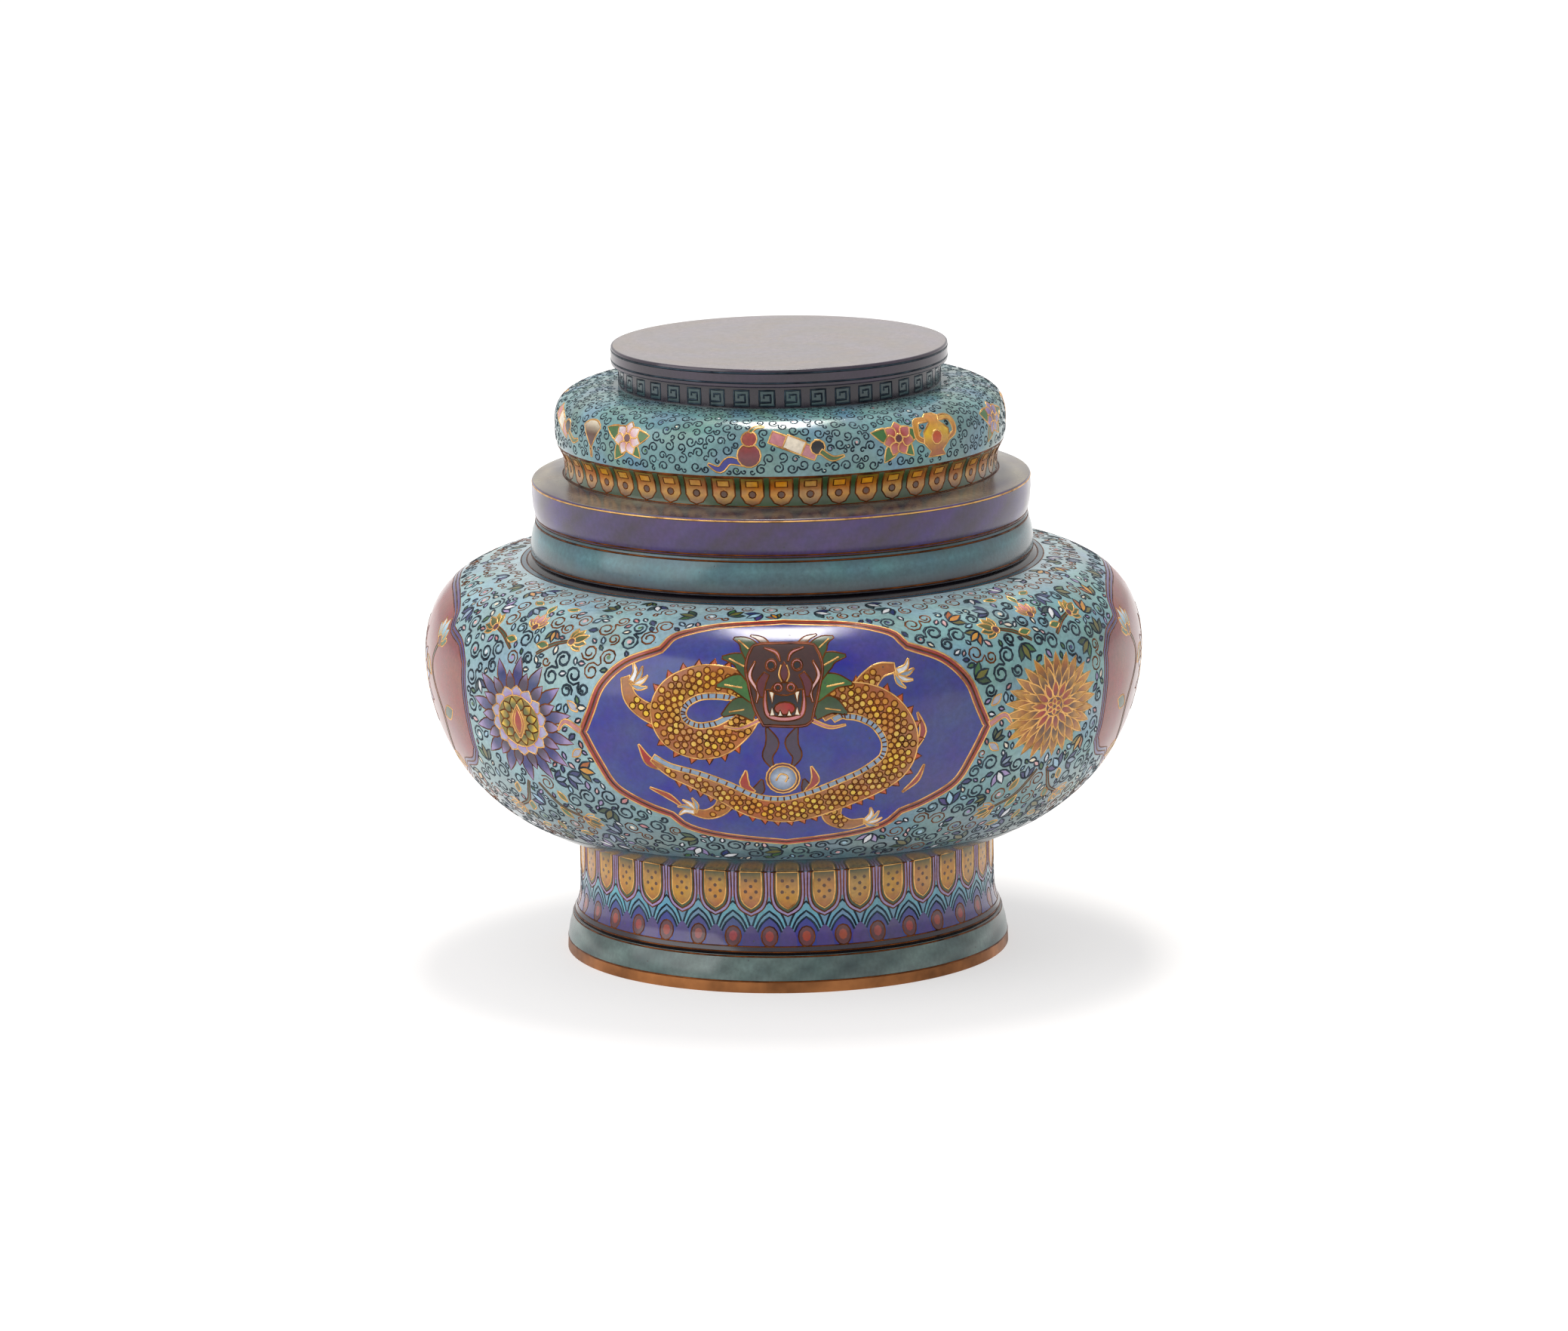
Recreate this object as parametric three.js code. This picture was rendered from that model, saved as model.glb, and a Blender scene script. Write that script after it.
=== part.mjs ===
// An enamelled copper jar on a ring foot, with a lift-off cover.
// Millimetres, +Z up. The origin is the middle of the foot's underside.
import * as THREE from 'three';

// Turned surfaces: flats around the axis, and steps along each curve
const sides = 52;
const outerCurveSteps = 9;
const innerCurveSteps = 6;
const smallCurveSteps = 4;

// Sheet copper with its enamel, and the small roundings of metal edges
const bellyWall = 2.4;
const footWall = 2.6;
const collarWall = 2.6;
const coverWall = 2.4;
const edgeBevel = 0.5;
const grooveWidth = 0.7;
const grooveDepth = 0.6;

// Foot ring: a conical ring at the floor, then a flare up to a straight waist
const footRadius = 57.0;
const footRingTopRadius = 55.4;
const footRingHeight = 9.7;
const waistRadius = 53.4;
const flareHeight = 10.3;
const waistHeight = 10.7;

// Belly: widest radius, its height above the foot, and how full the two curves are
const bellyRadius = 92.0;
const lowerBellyHeight = 47.3;
const lowerBellyRun = 38.8;
const lowerBellySlope = 0.257;
const lowerBellyFullness = 4.7;
const upperBellyHeight = 24.7;
const upperBellyFullness = 27.5;
const shoulderFillet = 3.0;

// Floor of the vessel: how far its middle hangs below its edge
const floorDish = 1.2;
const floorThickness = 2.6;

// Neck roll
const neckBaseRadius = 64.4;
const neckTopRadius = 63.0;
const neckHeight = 10.1;
const neckBulge = 0.5;

// Upright lip inside the mouth, which the cover's collar slides over
const lipThickness = 1.6;
const lipHeight = 5.4;
const lipDepth = 7.0;
const coverClearance = 0.4;

// Cover: collar, ledge, upright band and rounded roof
const collarTopRadius = 63.8;
const collarHeight = 10.1;
const ledgeInnerRadius = 55.5;
const ledgeRise = 1.4;
const bandLean = 0.5;
const bandHeight = 5.8;
const roofRadius = 57.6;
const roofSwellHeight = 7.3;
const roofHeight = 9.4;
const roofSquareness = 2.9;

// Knob: a short neck under a flat disc
const knobNeckRadius = 41.2;
const knobNeckHeight = 5.5;
const discRadius = 43.0;
const discThickness = 4.7;

// Heights worked out from the sizes above
const footTop = footRingHeight + flareHeight + waistHeight;
const bellyMiddle = footTop + lowerBellyHeight;
const neckBase = bellyMiddle + upperBellyHeight;
const seat = neckBase + neckHeight;
const lipTop = seat + lipHeight;
const collarTop = seat + collarHeight;
const bandBase = collarTop + ledgeRise;
const bandTop = bandBase + bandHeight;
const roofMiddle = bandTop + roofSwellHeight;
const roofTop = roofMiddle + roofHeight;
const discBase = roofTop + knobNeckHeight;
const discTop = discBase + discThickness;

// Radii of the fit between cover and jar
const collarInnerRadius = neckTopRadius - collarWall;
const lipRadius = collarInnerRadius - coverClearance;
const lipInnerRadius = lipRadius - lipThickness;

function point(radius, height) {
  return new THREE.Vector2(radius, height);
}

// Points of a cubic curve, without its first one
function curvePoints(start, startHandle, endHandle, end, steps) {
  const curve = new THREE.CubicBezierCurve(start, startHandle, endHandle, end);
  return curve.getPoints(steps).slice(1);
}

// Points of the same curve moved sideways by a wall's thickness, first one included
function wallPoints(start, startHandle, endHandle, end, steps, wall) {
  const curve = new THREE.CubicBezierCurve(start, startHandle, endHandle, end);
  const moved = [];
  for (let step = 0; step <= steps; step += 1) {
    const along = curve.getTangent(step / steps);
    const inward = point(-along.y, along.x);
    moved.push(curve.getPoint(step / steps).addScaledVector(inward, wall));
  }
  return moved;
}

// Control points of the belly's lower curve, from the foot to the widest line
function lowerBelly() {
  const start = point(waistRadius, footTop);
  const handle = point(Math.cos(lowerBellySlope), Math.sin(lowerBellySlope)).multiplyScalar(lowerBellyRun);
  return [
    start,
    start.clone().add(handle),
    point(bellyRadius, bellyMiddle - lowerBellyFullness),
    point(bellyRadius, bellyMiddle),
  ];
}

// Control points of the belly's upper curve, from the widest line to the neck
function upperBelly() {
  return [
    point(bellyRadius, bellyMiddle),
    point(bellyRadius, bellyMiddle + upperBellyFullness),
    point(neckBaseRadius, neckBase - shoulderFillet),
    point(neckBaseRadius, neckBase),
  ];
}

// The foot's outside from the floor to the belly, with a groove above its lower ring
function footOutside() {
  return [
    point(footRadius, 0),
    point(footRadius, edgeBevel),
    point(footRingTopRadius, footRingHeight - grooveWidth / 2),
    point(footRingTopRadius - grooveDepth, footRingHeight),
    point(footRingTopRadius - grooveDepth / 2, footRingHeight + grooveWidth / 2),
    ...curvePoints(
      point(footRingTopRadius - grooveDepth / 2, footRingHeight + grooveWidth / 2),
      point(waistRadius, footRingHeight + flareHeight / 3),
      point(waistRadius, footRingHeight + flareHeight / 2),
      point(waistRadius, footRingHeight + flareHeight),
      smallCurveSteps,
    ),
    point(waistRadius, footTop),
  ];
}

// The neck's outside from the shoulder to the seat, rounded in at both ends
function neckOutside() {
  const swell = (neckBaseRadius + neckTopRadius) / 2 + neckBulge;
  return [
    point(neckBaseRadius - grooveDepth, neckBase + grooveWidth / 2),
    point(neckBaseRadius, neckBase + grooveWidth),
    ...curvePoints(
      point(neckBaseRadius, neckBase + grooveWidth),
      point(swell + neckBulge, neckBase + neckHeight / 3),
      point(swell, neckBase + (2 * neckHeight) / 3),
      point(neckTopRadius, seat - edgeBevel),
      smallCurveSteps,
    ),
    point(neckTopRadius - edgeBevel, seat),
  ];
}

// The seat, the upright lip and the neck's inside down to the shoulder
function mouth() {
  const stripBase = seat - lipDepth;
  const neckInnerRadius = (neckBaseRadius + neckTopRadius) / 2 - bellyWall;
  const shoulderInside = neckBase - shoulderFillet / 2;
  return [
    point(lipRadius, seat),
    point(lipRadius, lipTop - edgeBevel),
    point(lipRadius - edgeBevel, lipTop),
    point(lipInnerRadius + edgeBevel, lipTop),
    point(lipInnerRadius, lipTop - edgeBevel),
    point(lipInnerRadius, stripBase),
    point(neckInnerRadius, stripBase),
    point(neckInnerRadius, shoulderInside),
  ];
}

// The jar's closed section, from the hollow under the foot round to the vessel's floor
function jarSection() {
  const lowerInside = wallPoints(...lowerBelly(), innerCurveSteps, bellyWall).reverse();
  const upperInside = wallPoints(...upperBelly(), innerCurveSteps, bellyWall).reverse();
  const floorEdge = lowerInside[lowerInside.length - 1];
  const floorMiddle = floorEdge.y - floorDish;
  const hollowRadius = waistRadius - footWall;
  return [
    point(0, floorMiddle - floorThickness),
    point(hollowRadius, floorEdge.y - floorThickness),
    point(hollowRadius, footRingHeight + flareHeight),
    point(footRingTopRadius - footWall, footRingHeight),
    point(footRadius - footWall, 0),
    ...footOutside(),
    ...curvePoints(...lowerBelly(), outerCurveSteps),
    ...curvePoints(...upperBelly(), outerCurveSteps),
    ...neckOutside(),
    ...mouth(),
    ...upperInside.slice(1),
    ...lowerInside.slice(1),
    point(0, floorMiddle),
  ];
}

// A quarter of a squared round, from upright at the side to level at the top
function roofPoints(innerRadius, outerRadius, base, height, steps) {
  const points = [];
  for (let step = 0; step <= steps; step += 1) {
    const turn = (Math.PI / 2) * (step / steps);
    const across = Math.cos(turn) ** (2 / roofSquareness);
    const up = Math.sin(turn) ** (2 / roofSquareness);
    points.push(point(innerRadius + (outerRadius - innerRadius) * across, base + height * up));
  }
  return points;
}

// The cover's outside from the seat to the middle of the disc
function coverOutside() {
  const bandTopRadius = ledgeInnerRadius + bandLean;
  return [
    point(neckTopRadius - edgeBevel, seat),
    point(neckTopRadius, seat + edgeBevel),
    point(collarTopRadius, seat + collarHeight / 2),
    point(collarTopRadius, collarTop - edgeBevel),
    point(collarTopRadius - edgeBevel, collarTop),
    point(ledgeInnerRadius, bandBase),
    point(bandTopRadius, bandTop),
    ...curvePoints(
      point(bandTopRadius, bandTop),
      point(roofRadius, bandTop + roofSwellHeight / 3),
      point(roofRadius, bandTop + roofSwellHeight / 2),
      point(roofRadius, roofMiddle),
      smallCurveSteps,
    ),
    ...roofPoints(knobNeckRadius, roofRadius, roofMiddle, roofHeight, outerCurveSteps).slice(1),
    point(knobNeckRadius, discBase),
    point(discRadius - edgeBevel, discBase),
    point(discRadius, discBase + edgeBevel),
    point(discRadius, discTop - edgeBevel),
    point(discRadius - edgeBevel, discTop),
    point(0, discTop),
  ];
}

// The cover's inside from the middle of the disc down to the seat
function coverInside() {
  const knobInnerRadius = knobNeckRadius - coverWall;
  const roofInnerRadius = roofRadius - coverWall;
  const bandInnerRadius = ledgeInnerRadius - coverWall;
  const innerRoof = roofPoints(
    knobInnerRadius,
    roofInnerRadius,
    roofMiddle,
    roofHeight - coverWall,
    innerCurveSteps,
  );
  return [
    point(0, discTop - coverWall),
    point(knobInnerRadius, discTop - coverWall),
    ...innerRoof.reverse(),
    point(bandInnerRadius, bandTop),
    point(bandInnerRadius, bandBase - coverWall),
    point(collarInnerRadius, collarTop - coverWall),
    point(collarInnerRadius, seat),
  ];
}

// Turns a closed section about +Z
function turned(section) {
  return new THREE.LatheGeometry(section, sides).rotateX(Math.PI / 2);
}

function jar() {
  const enamel = new THREE.MeshStandardMaterial({ color: 0x7f9aa0, roughness: 0.22, metalness: 0.0 });
  const mesh = new THREE.Mesh(turned(jarSection()), enamel);
  mesh.name = 'jar';
  return mesh;
}

function lid() {
  const enamel = new THREE.MeshStandardMaterial({ color: 0x6e7f8c, roughness: 0.22, metalness: 0.0 });
  const mesh = new THREE.Mesh(turned([...coverInside(), ...coverOutside()]), enamel);
  mesh.name = 'lid';
  return mesh;
}

const coveredJar = new THREE.Group();
coveredJar.add(jar());
coveredJar.add(lid());

export default coveredJar;
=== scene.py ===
# %% [markdown]
# # A squat enamelled copper jar with its cover
#
# The real jar is spun from sheet copper. Flat gilt wires are soldered to it on edge, and the cells
# between them are filled with glass powders of many colours, fired, ground level and polished. So
# every colour on it ends at a wire. This lesson works in the same order: the body comes from the
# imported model's outline, the drawing divides its skin into cells, each cell gets its pigment, and
# wires follow the edges of the cells.

# %% Open the frame
import math
from collections import namedtuple

import bpy
import numpy as np
from mathutils import Matrix, Vector
from mathutils.geometry import delaunay_2d_cdt


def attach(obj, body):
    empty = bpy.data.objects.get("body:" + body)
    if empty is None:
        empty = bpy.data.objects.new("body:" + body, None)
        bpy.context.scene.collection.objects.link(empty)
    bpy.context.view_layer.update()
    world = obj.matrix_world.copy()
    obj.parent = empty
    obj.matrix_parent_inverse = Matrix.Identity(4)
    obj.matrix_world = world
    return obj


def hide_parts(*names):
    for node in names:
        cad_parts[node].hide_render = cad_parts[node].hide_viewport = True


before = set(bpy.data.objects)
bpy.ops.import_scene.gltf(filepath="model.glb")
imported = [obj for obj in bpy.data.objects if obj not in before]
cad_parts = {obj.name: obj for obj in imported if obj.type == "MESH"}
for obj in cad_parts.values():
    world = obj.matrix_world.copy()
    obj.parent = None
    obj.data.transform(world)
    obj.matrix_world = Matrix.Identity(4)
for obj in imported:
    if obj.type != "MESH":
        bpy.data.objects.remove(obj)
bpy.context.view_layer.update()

MM = 0.001
TURN = 2 * math.pi

# %% [markdown]
# ## The outline, made fine again
#
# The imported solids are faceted: fifty-two flats round the axis and a few points along each curve.
# Polished enamel shows every flat, so the skin is turned afresh. One column of the solid's points
# lies in the plane of the front, and it is the outline. A smooth curve runs through its points, and
# stops only at the corners. Short bevels become small round edges, which catch the light as
# polished edges do. Nothing is measured by hand here: if the model changes, the skin follows.

# %% Read an outline from the frame
CORNER = math.radians(25)
BEVEL = 0.75
LONG_FLAT = 20.0
CREASE = math.radians(5)
FINE_STEP = 0.3


def outline_points(node):
    """(radius, height) in mm down the front column of a node, from the axis round to the axis."""
    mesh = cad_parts[node].data
    places = []
    for vertex in mesh.vertices:
        on_front = abs(vertex.co.x) < 1e-6 and vertex.co.y < 1e-6
        places.append((round(-vertex.co.y * 1e5), round(vertex.co.z * 1e5)) if on_front else None)
    beside = {}
    for face in mesh.polygons:
        corners = [places[i] for i in face.vertices]
        for a, b in zip(corners, corners[1:] + corners[:1]):
            if a and b and a != b:
                beside.setdefault(a, set()).add(b)
                beside.setdefault(b, set()).add(a)
    here = min(place for place, others in beside.items() if len(others) == 1)
    walk = [here]
    while True:
        ahead = [place for place in beside[here] if place not in walk[-2:]]
        if not ahead:
            break
        here = ahead[0]
        walk.append(here)
    return [np.array(place) / 100.0 for place in walk]


def heading(a, b):
    return math.atan2(b[1] - a[1], b[0] - a[0])


def turn_at(points, i):
    """How far the outline turns at point i, in radians, to the left as positive."""
    turn = heading(points[i], points[i + 1]) - heading(points[i - 1], points[i])
    return (turn + math.pi) % TURN - math.pi


def smooth_curve(points):
    """Dense points and directions of a curve through the points (cubic, spaced by chord)."""
    points = np.array(points, float)
    chords = np.linalg.norm(np.diff(points, axis=0), axis=1)
    slopes = np.diff(points, axis=0) / chords[:, None]
    tangents = np.vstack([slopes[:1], slopes[-1:]])
    if len(points) > 2:
        before, after = chords[:-1, None], chords[1:, None]
        middle = (slopes[:-1] * after + slopes[1:] * before) / (before + after)
        tangents = np.vstack([2 * slopes[:1] - middle[:1], middle, 2 * slopes[-1:] - middle[-1:]])
    places, directions = [], []
    for i, chord in enumerate(chords):
        steps = max(2, math.ceil(chord / FINE_STEP))
        t = np.linspace(0, 1, steps + 1)[:, None]
        a, b = points[i], points[i + 1]
        m, n = tangents[i] * chord, tangents[i + 1] * chord
        places.append((2*t**3 - 3*t**2 + 1)*a + (t**3 - 2*t**2 + t)*m
                      + (3*t**2 - 2*t**3)*b + (t**3 - t**2)*n)
        directions.append((6*t**2 - 6*t)*a + (3*t**2 - 4*t + 1)*m
                          + (6*t - 6*t**2)*b + (3*t**2 - 2*t)*n)
    return np.vstack(places), np.vstack(directions)


def round_edge(before, start, end, after):
    """Dense points and directions of a rounded edge in place of a bevel."""
    u, v = start - before, end - after
    across = u[0] * v[1] - u[1] * v[0]
    share = ((end - start)[0] * v[1] - (end - start)[1] * v[0]) / across
    corner = start + u * share
    t = np.linspace(0, 1, 6)[:, None]
    places = (1 - t) ** 2 * start + 2 * t * (1 - t) * corner + t ** 2 * end
    return places, 2 * (1 - t) * (corner - start) + 2 * t * (end - corner)


# %% [markdown]
# A turned surface is addressed like a map: `x` runs round the body, in mm along its widest circle,
# with 0 at the front, and `s` runs along the outline. A flat drawing made in `x` and `s` can then be
# laid on the body, as a tracing would be laid on the copper.

# %% A turned surface with places and normals
class Turned:
    """A node's outline as a fine table, and places on the surface it sweeps round the axis."""

    def __init__(self, node, columns):
        points = outline_points(node)
        turns = [0.0] + [turn_at(points, i) for i in range(1, len(points) - 1)] + [0.0]
        is_corner = [abs(turn) > CORNER for turn in turns]
        for i in range(1, len(points) - 1):
            # A long flat, such as the vessel's floor, stays flat and ends at a crease.
            before, after = points[i] - points[i - 1], points[i + 1] - points[i]
            longest = max(np.linalg.norm(before), np.linalg.norm(after))
            if longest > LONG_FLAT and abs(turns[i]) > CREASE:
                is_corner[i] = True
        stops = [0] + [i for i in range(1, len(points) - 1) if is_corner[i]] + [len(points) - 1]
        tables, run = [], 0
        self.columns = columns
        rounded_before = False
        for first, last in zip(stops, stops[1:]):
            short = np.linalg.norm(points[last] - points[first]) < BEVEL and last - first == 1
            rounded = short and turns[first] * turns[last] > 0
            if tables and not (rounded or rounded_before):
                run += 1
            if rounded:
                places, ways = round_edge(*points[first - 1:first + 3])
            else:
                places, ways = smooth_curve(points[first:last + 1])
            tables.append((places, ways, np.full(len(places), run)))
            rounded_before = rounded
        places = np.vstack([table[0] for table in tables])
        ways = np.vstack([table[1] for table in tables])
        ways /= np.linalg.norm(ways, axis=1)[:, None]
        self.run = np.concatenate([table[2] for table in tables])
        steps = np.linalg.norm(np.diff(places, axis=0), axis=1)
        self.station = np.concatenate([[0.0], np.cumsum(steps)])
        self.radius, self.height = places[:, 0], places[:, 1]
        self.outward = np.column_stack([ways[:, 1], -ways[:, 0]])
        self.length = self.station[-1]

    def station_of(self, height, after=0.0):
        """The first station past `after` where the outline reaches a height."""
        for i in range(1, len(self.station)):
            low, high = sorted((self.height[i - 1], self.height[i]))
            if self.station[i] <= after or not low <= height <= high:
                continue
            share = (height - self.height[i - 1]) / max(1e-9, self.height[i] - self.height[i - 1])
            return self.station[i - 1] + min(1.0, max(0.0, share)) * (self.station[i] - self.station[i - 1])
        raise ValueError(f"the outline has no height {height}")

    def corner_near(self, radius, height):
        """The station of the outline point closest to (radius, height)."""
        return self.station[np.argmin((self.radius - radius) ** 2 + (self.height - height) ** 2)]

    def radius_at(self, s):
        return np.interp(s, self.station, self.radius)

    def place(self, turn, s):
        """Points in metres at angles `turn` from the front and stations `s`."""
        radius = np.interp(s, self.station, self.radius)
        height = np.interp(s, self.station, self.height)
        return np.column_stack([radius * np.sin(turn), -radius * np.cos(turn), height]) * MM

    def normal(self, turn, s, middle):
        """Outward normals at (turn, s), each on the smooth run that holds the station `middle`."""
        run = self.run[np.minimum(np.searchsorted(self.station, middle), len(self.station) - 1)]
        flat = np.zeros((len(s), 2))
        for one in np.unique(run):
            chosen, table = run == one, self.run == one
            for axis in (0, 1):
                flat[chosen, axis] = np.interp(s[chosen], self.station[table], self.outward[table, axis])
        flat /= np.linalg.norm(flat, axis=1)[:, None]
        return np.column_stack([flat[:, 0] * np.sin(turn), -flat[:, 0] * np.cos(turn), flat[:, 1]])

    def rows(self, start, end, longest, widest_turn=math.radians(9)):
        """Stations of rows between two stations: close together where the outline bends."""
        stations = [start]
        inside = (self.station > start + 1e-6) & (self.station < end - 1e-6)
        ways = np.arctan2(self.outward[:, 1], self.outward[:, 0])
        last_way, last_run = None, None
        for s, way, run in zip(self.station[inside], ways[inside], self.run[inside]):
            if last_run is None:
                last_way, last_run = way, run
            bend = abs((way - last_way + math.pi) % TURN - math.pi)
            if run != last_run or s - stations[-1] > longest or bend > widest_turn:
                if s - stations[-1] > 0.05:
                    stations.append(s)
                last_way = way
            last_run = run
        if end - stations[-1] < 0.4 and len(stations) > 1:
            stations.pop()
        return stations + [end]


JAR = Turned("jar", columns=288)
LID = Turned("lid", columns=240)
print("jar outline", round(JAR.length, 1), "mm,", JAR.run[-1] + 1, "smooth runs")
print("lid outline", round(LID.length, 1), "mm,", LID.run[-1] + 1, "smooth runs")

# %% [markdown]
# ## Drawing on a band of the body
#
# The drawing is flat work: every motif is a closed outline on the map of a band. A constrained
# triangulation lays all outlines over each other at once and says, for every small triangle, which
# motif lies on top. That is how the wires divide real enamel, with no cell under another one. The
# triangulation also gets a lattice of points, so the skin keeps the body's curve inside a big cell.

# %% Sheets, cells and wire lines
Cell = namedtuple("Cell", "loop pigment wire")
LONGEST_STEP = 2.4
CLEAR_OF_LINES = 0.55


def square_of(x, s):
    """The small square of the map that holds a place."""
    return math.floor(x / CLEAR_OF_LINES), math.floor(s / CLEAR_OF_LINES)


def refined(points, longest=LONGEST_STEP, closed=True):
    """The same outline with no step longer than `longest`."""
    points = np.asarray(points, float)
    ahead = np.roll(points, -1, axis=0) if closed else points[1:]
    result = []
    for a, b in zip(points, ahead):
        steps = max(1, math.ceil(np.linalg.norm(b - a) / longest))
        result.extend(a + (b - a) * i / steps for i in range(steps))
    if not closed:
        result.append(points[-1])
    return np.array(result)


class Sheet:
    """The flat map of one smooth band of a turned surface, with the cells drawn on it."""

    def __init__(self, body, start, end, ground, row_step=2.6):
        self.body, self.start, self.end, self.ground = body, start, end, ground
        inside = (body.station >= start) & (body.station <= end)
        self.girth = body.radius[inside].max()
        self.width = TURN * self.girth
        self.rows = body.rows(start, end, row_step)
        self.cells, self.lines = [], []

    def laid(self, points, x=0.0, s=0.0, turn=0.0, size=1.0):
        """A small drawing in true mm, set down with its origin at (x, s) and turned."""
        points = np.asarray(points, float) * size
        along = points[:, 0] * math.cos(turn) - points[:, 1] * math.sin(turn)
        up = points[:, 0] * math.sin(turn) + points[:, 1] * math.cos(turn) + s
        return np.column_stack([x + along * self.girth / self.body.radius_at(up), up])

    def cell(self, loop, pigment, wire="gilt"):
        """One enamel cell. Its loop is turned anticlockwise, and kept off the band's two edges."""
        loop = np.asarray(loop, float)
        area = np.sum(loop[:, 0] * np.roll(loop[:, 1], -1) - np.roll(loop[:, 0], -1) * loop[:, 1])
        if area < 0:
            loop = loop[::-1]
        loop = refined(loop)
        loop[:, 1] = np.clip(loop[:, 1], self.start + 0.15, self.end - 0.15)
        self.cells.append(Cell(loop, pigment, wire))

    def line(self, points, wire, longest=1.2):
        """A wire that runs free, without dividing the skin."""
        points = refined(points, longest, closed=False)
        points[:, 1] = np.clip(points[:, 1], self.start + 0.1, self.end - 0.1)
        self.lines.append((points, wire))

    def band(self, low, high, pigment, wire):
        """A cell all the way round, between two stations."""
        half = self.width / 2
        columns = np.linspace(-half, half, self.body.columns + 1)
        low_side = [(x, low) for x in columns]
        high_side = [(x, high) for x in columns[::-1]]
        self.cells.append(Cell(np.array(low_side + high_side), pigment, wire))

    def copies(self, points):
        """The outline, and its copy one girth away where it crosses the seam at the back."""
        half = self.width / 2
        shifts = [0.0]
        if points[:, 0].max() > half + 1e-9:
            shifts.append(-self.width)
        if points[:, 0].min() < -half - 1e-9:
            shifts.append(self.width)
        return [points + [shift, 0.0] for shift in shifts]

    def triangles(self):
        """(places, triangles, owner of each triangle): the cell on top, or -1 for the ground."""
        half = self.width / 2
        columns = np.linspace(-half, half, self.body.columns + 1)
        border = [(x, self.start) for x in columns] + [(half, s) for s in self.rows[1:-1]]
        border += [(x, self.end) for x in columns[::-1]] + [(-half, s) for s in self.rows[-2:0:-1]]
        points, faces, owners = list(border), [list(range(len(border)))], [-1]
        crowded = set()
        for number, cell in enumerate(self.cells):
            for loop in self.copies(cell.loop):
                faces.append(list(range(len(points), len(points) + len(loop))))
                owners.append(number)
                points.extend(map(tuple, loop))
                crowded.update(square_of(x, s) for x, s in loop)
        for s in self.rows[1:-1]:
            for x in columns[1:-1]:
                column, row = square_of(x, s)
                if not any((column + i, row + j) in crowded for i in (-1, 0, 1) for j in (-1, 0, 1)):
                    points.append((x, s))
        flat, _, tris, from_points, _, from_faces = delaunay_2d_cdt(
            [Vector(point) for point in points], [], faces, 1, 1e-5, True)
        places = np.array([points[old[0]] if old else tuple(new) for new, old in zip(flat, from_points)])
        self.join_seam(places, half)
        middles = places[np.array(tris)].mean(axis=1)
        kept = [i for i, middle in enumerate(middles) if abs(middle[0]) < half]
        owner = [max(owners[face] for face in from_faces[i]) for i in kept]
        return places, [tris[i] for i in kept], owner

    def join_seam(self, places, half):
        """Gives the points on the left side of the seam the very stations of those on the right."""
        left = np.where(np.abs(places[:, 0] + half) < 1e-3)[0]
        right = np.where(np.abs(places[:, 0] - half) < 1e-3)[0]
        if len(left) != len(right):
            raise ValueError(f"the seam has {len(left)} points on one side and {len(right)} on the other")
        left = left[np.argsort(places[left, 1])]
        right = right[np.argsort(places[right, 1])]
        places[left] = np.column_stack([np.full(len(left), -half), places[right, 1]])
        places[right, 0] = half


# %% [markdown]
# ## From drawing to skin
#
# The skin is one closed mesh: drawn bands where there is a picture, and plain rings of faces
# elsewhere, inside the jar and under the foot too. Points that two bands share are stored once, so
# the seams are closed. Each corner of a face carries its pigment, its place on the bake map and the
# true normal of the turned surface, which keeps reflections smooth over tiny uneven triangles.

# %% Build the skin of a turned body
DRAWN_SHARE = 0.8


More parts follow.
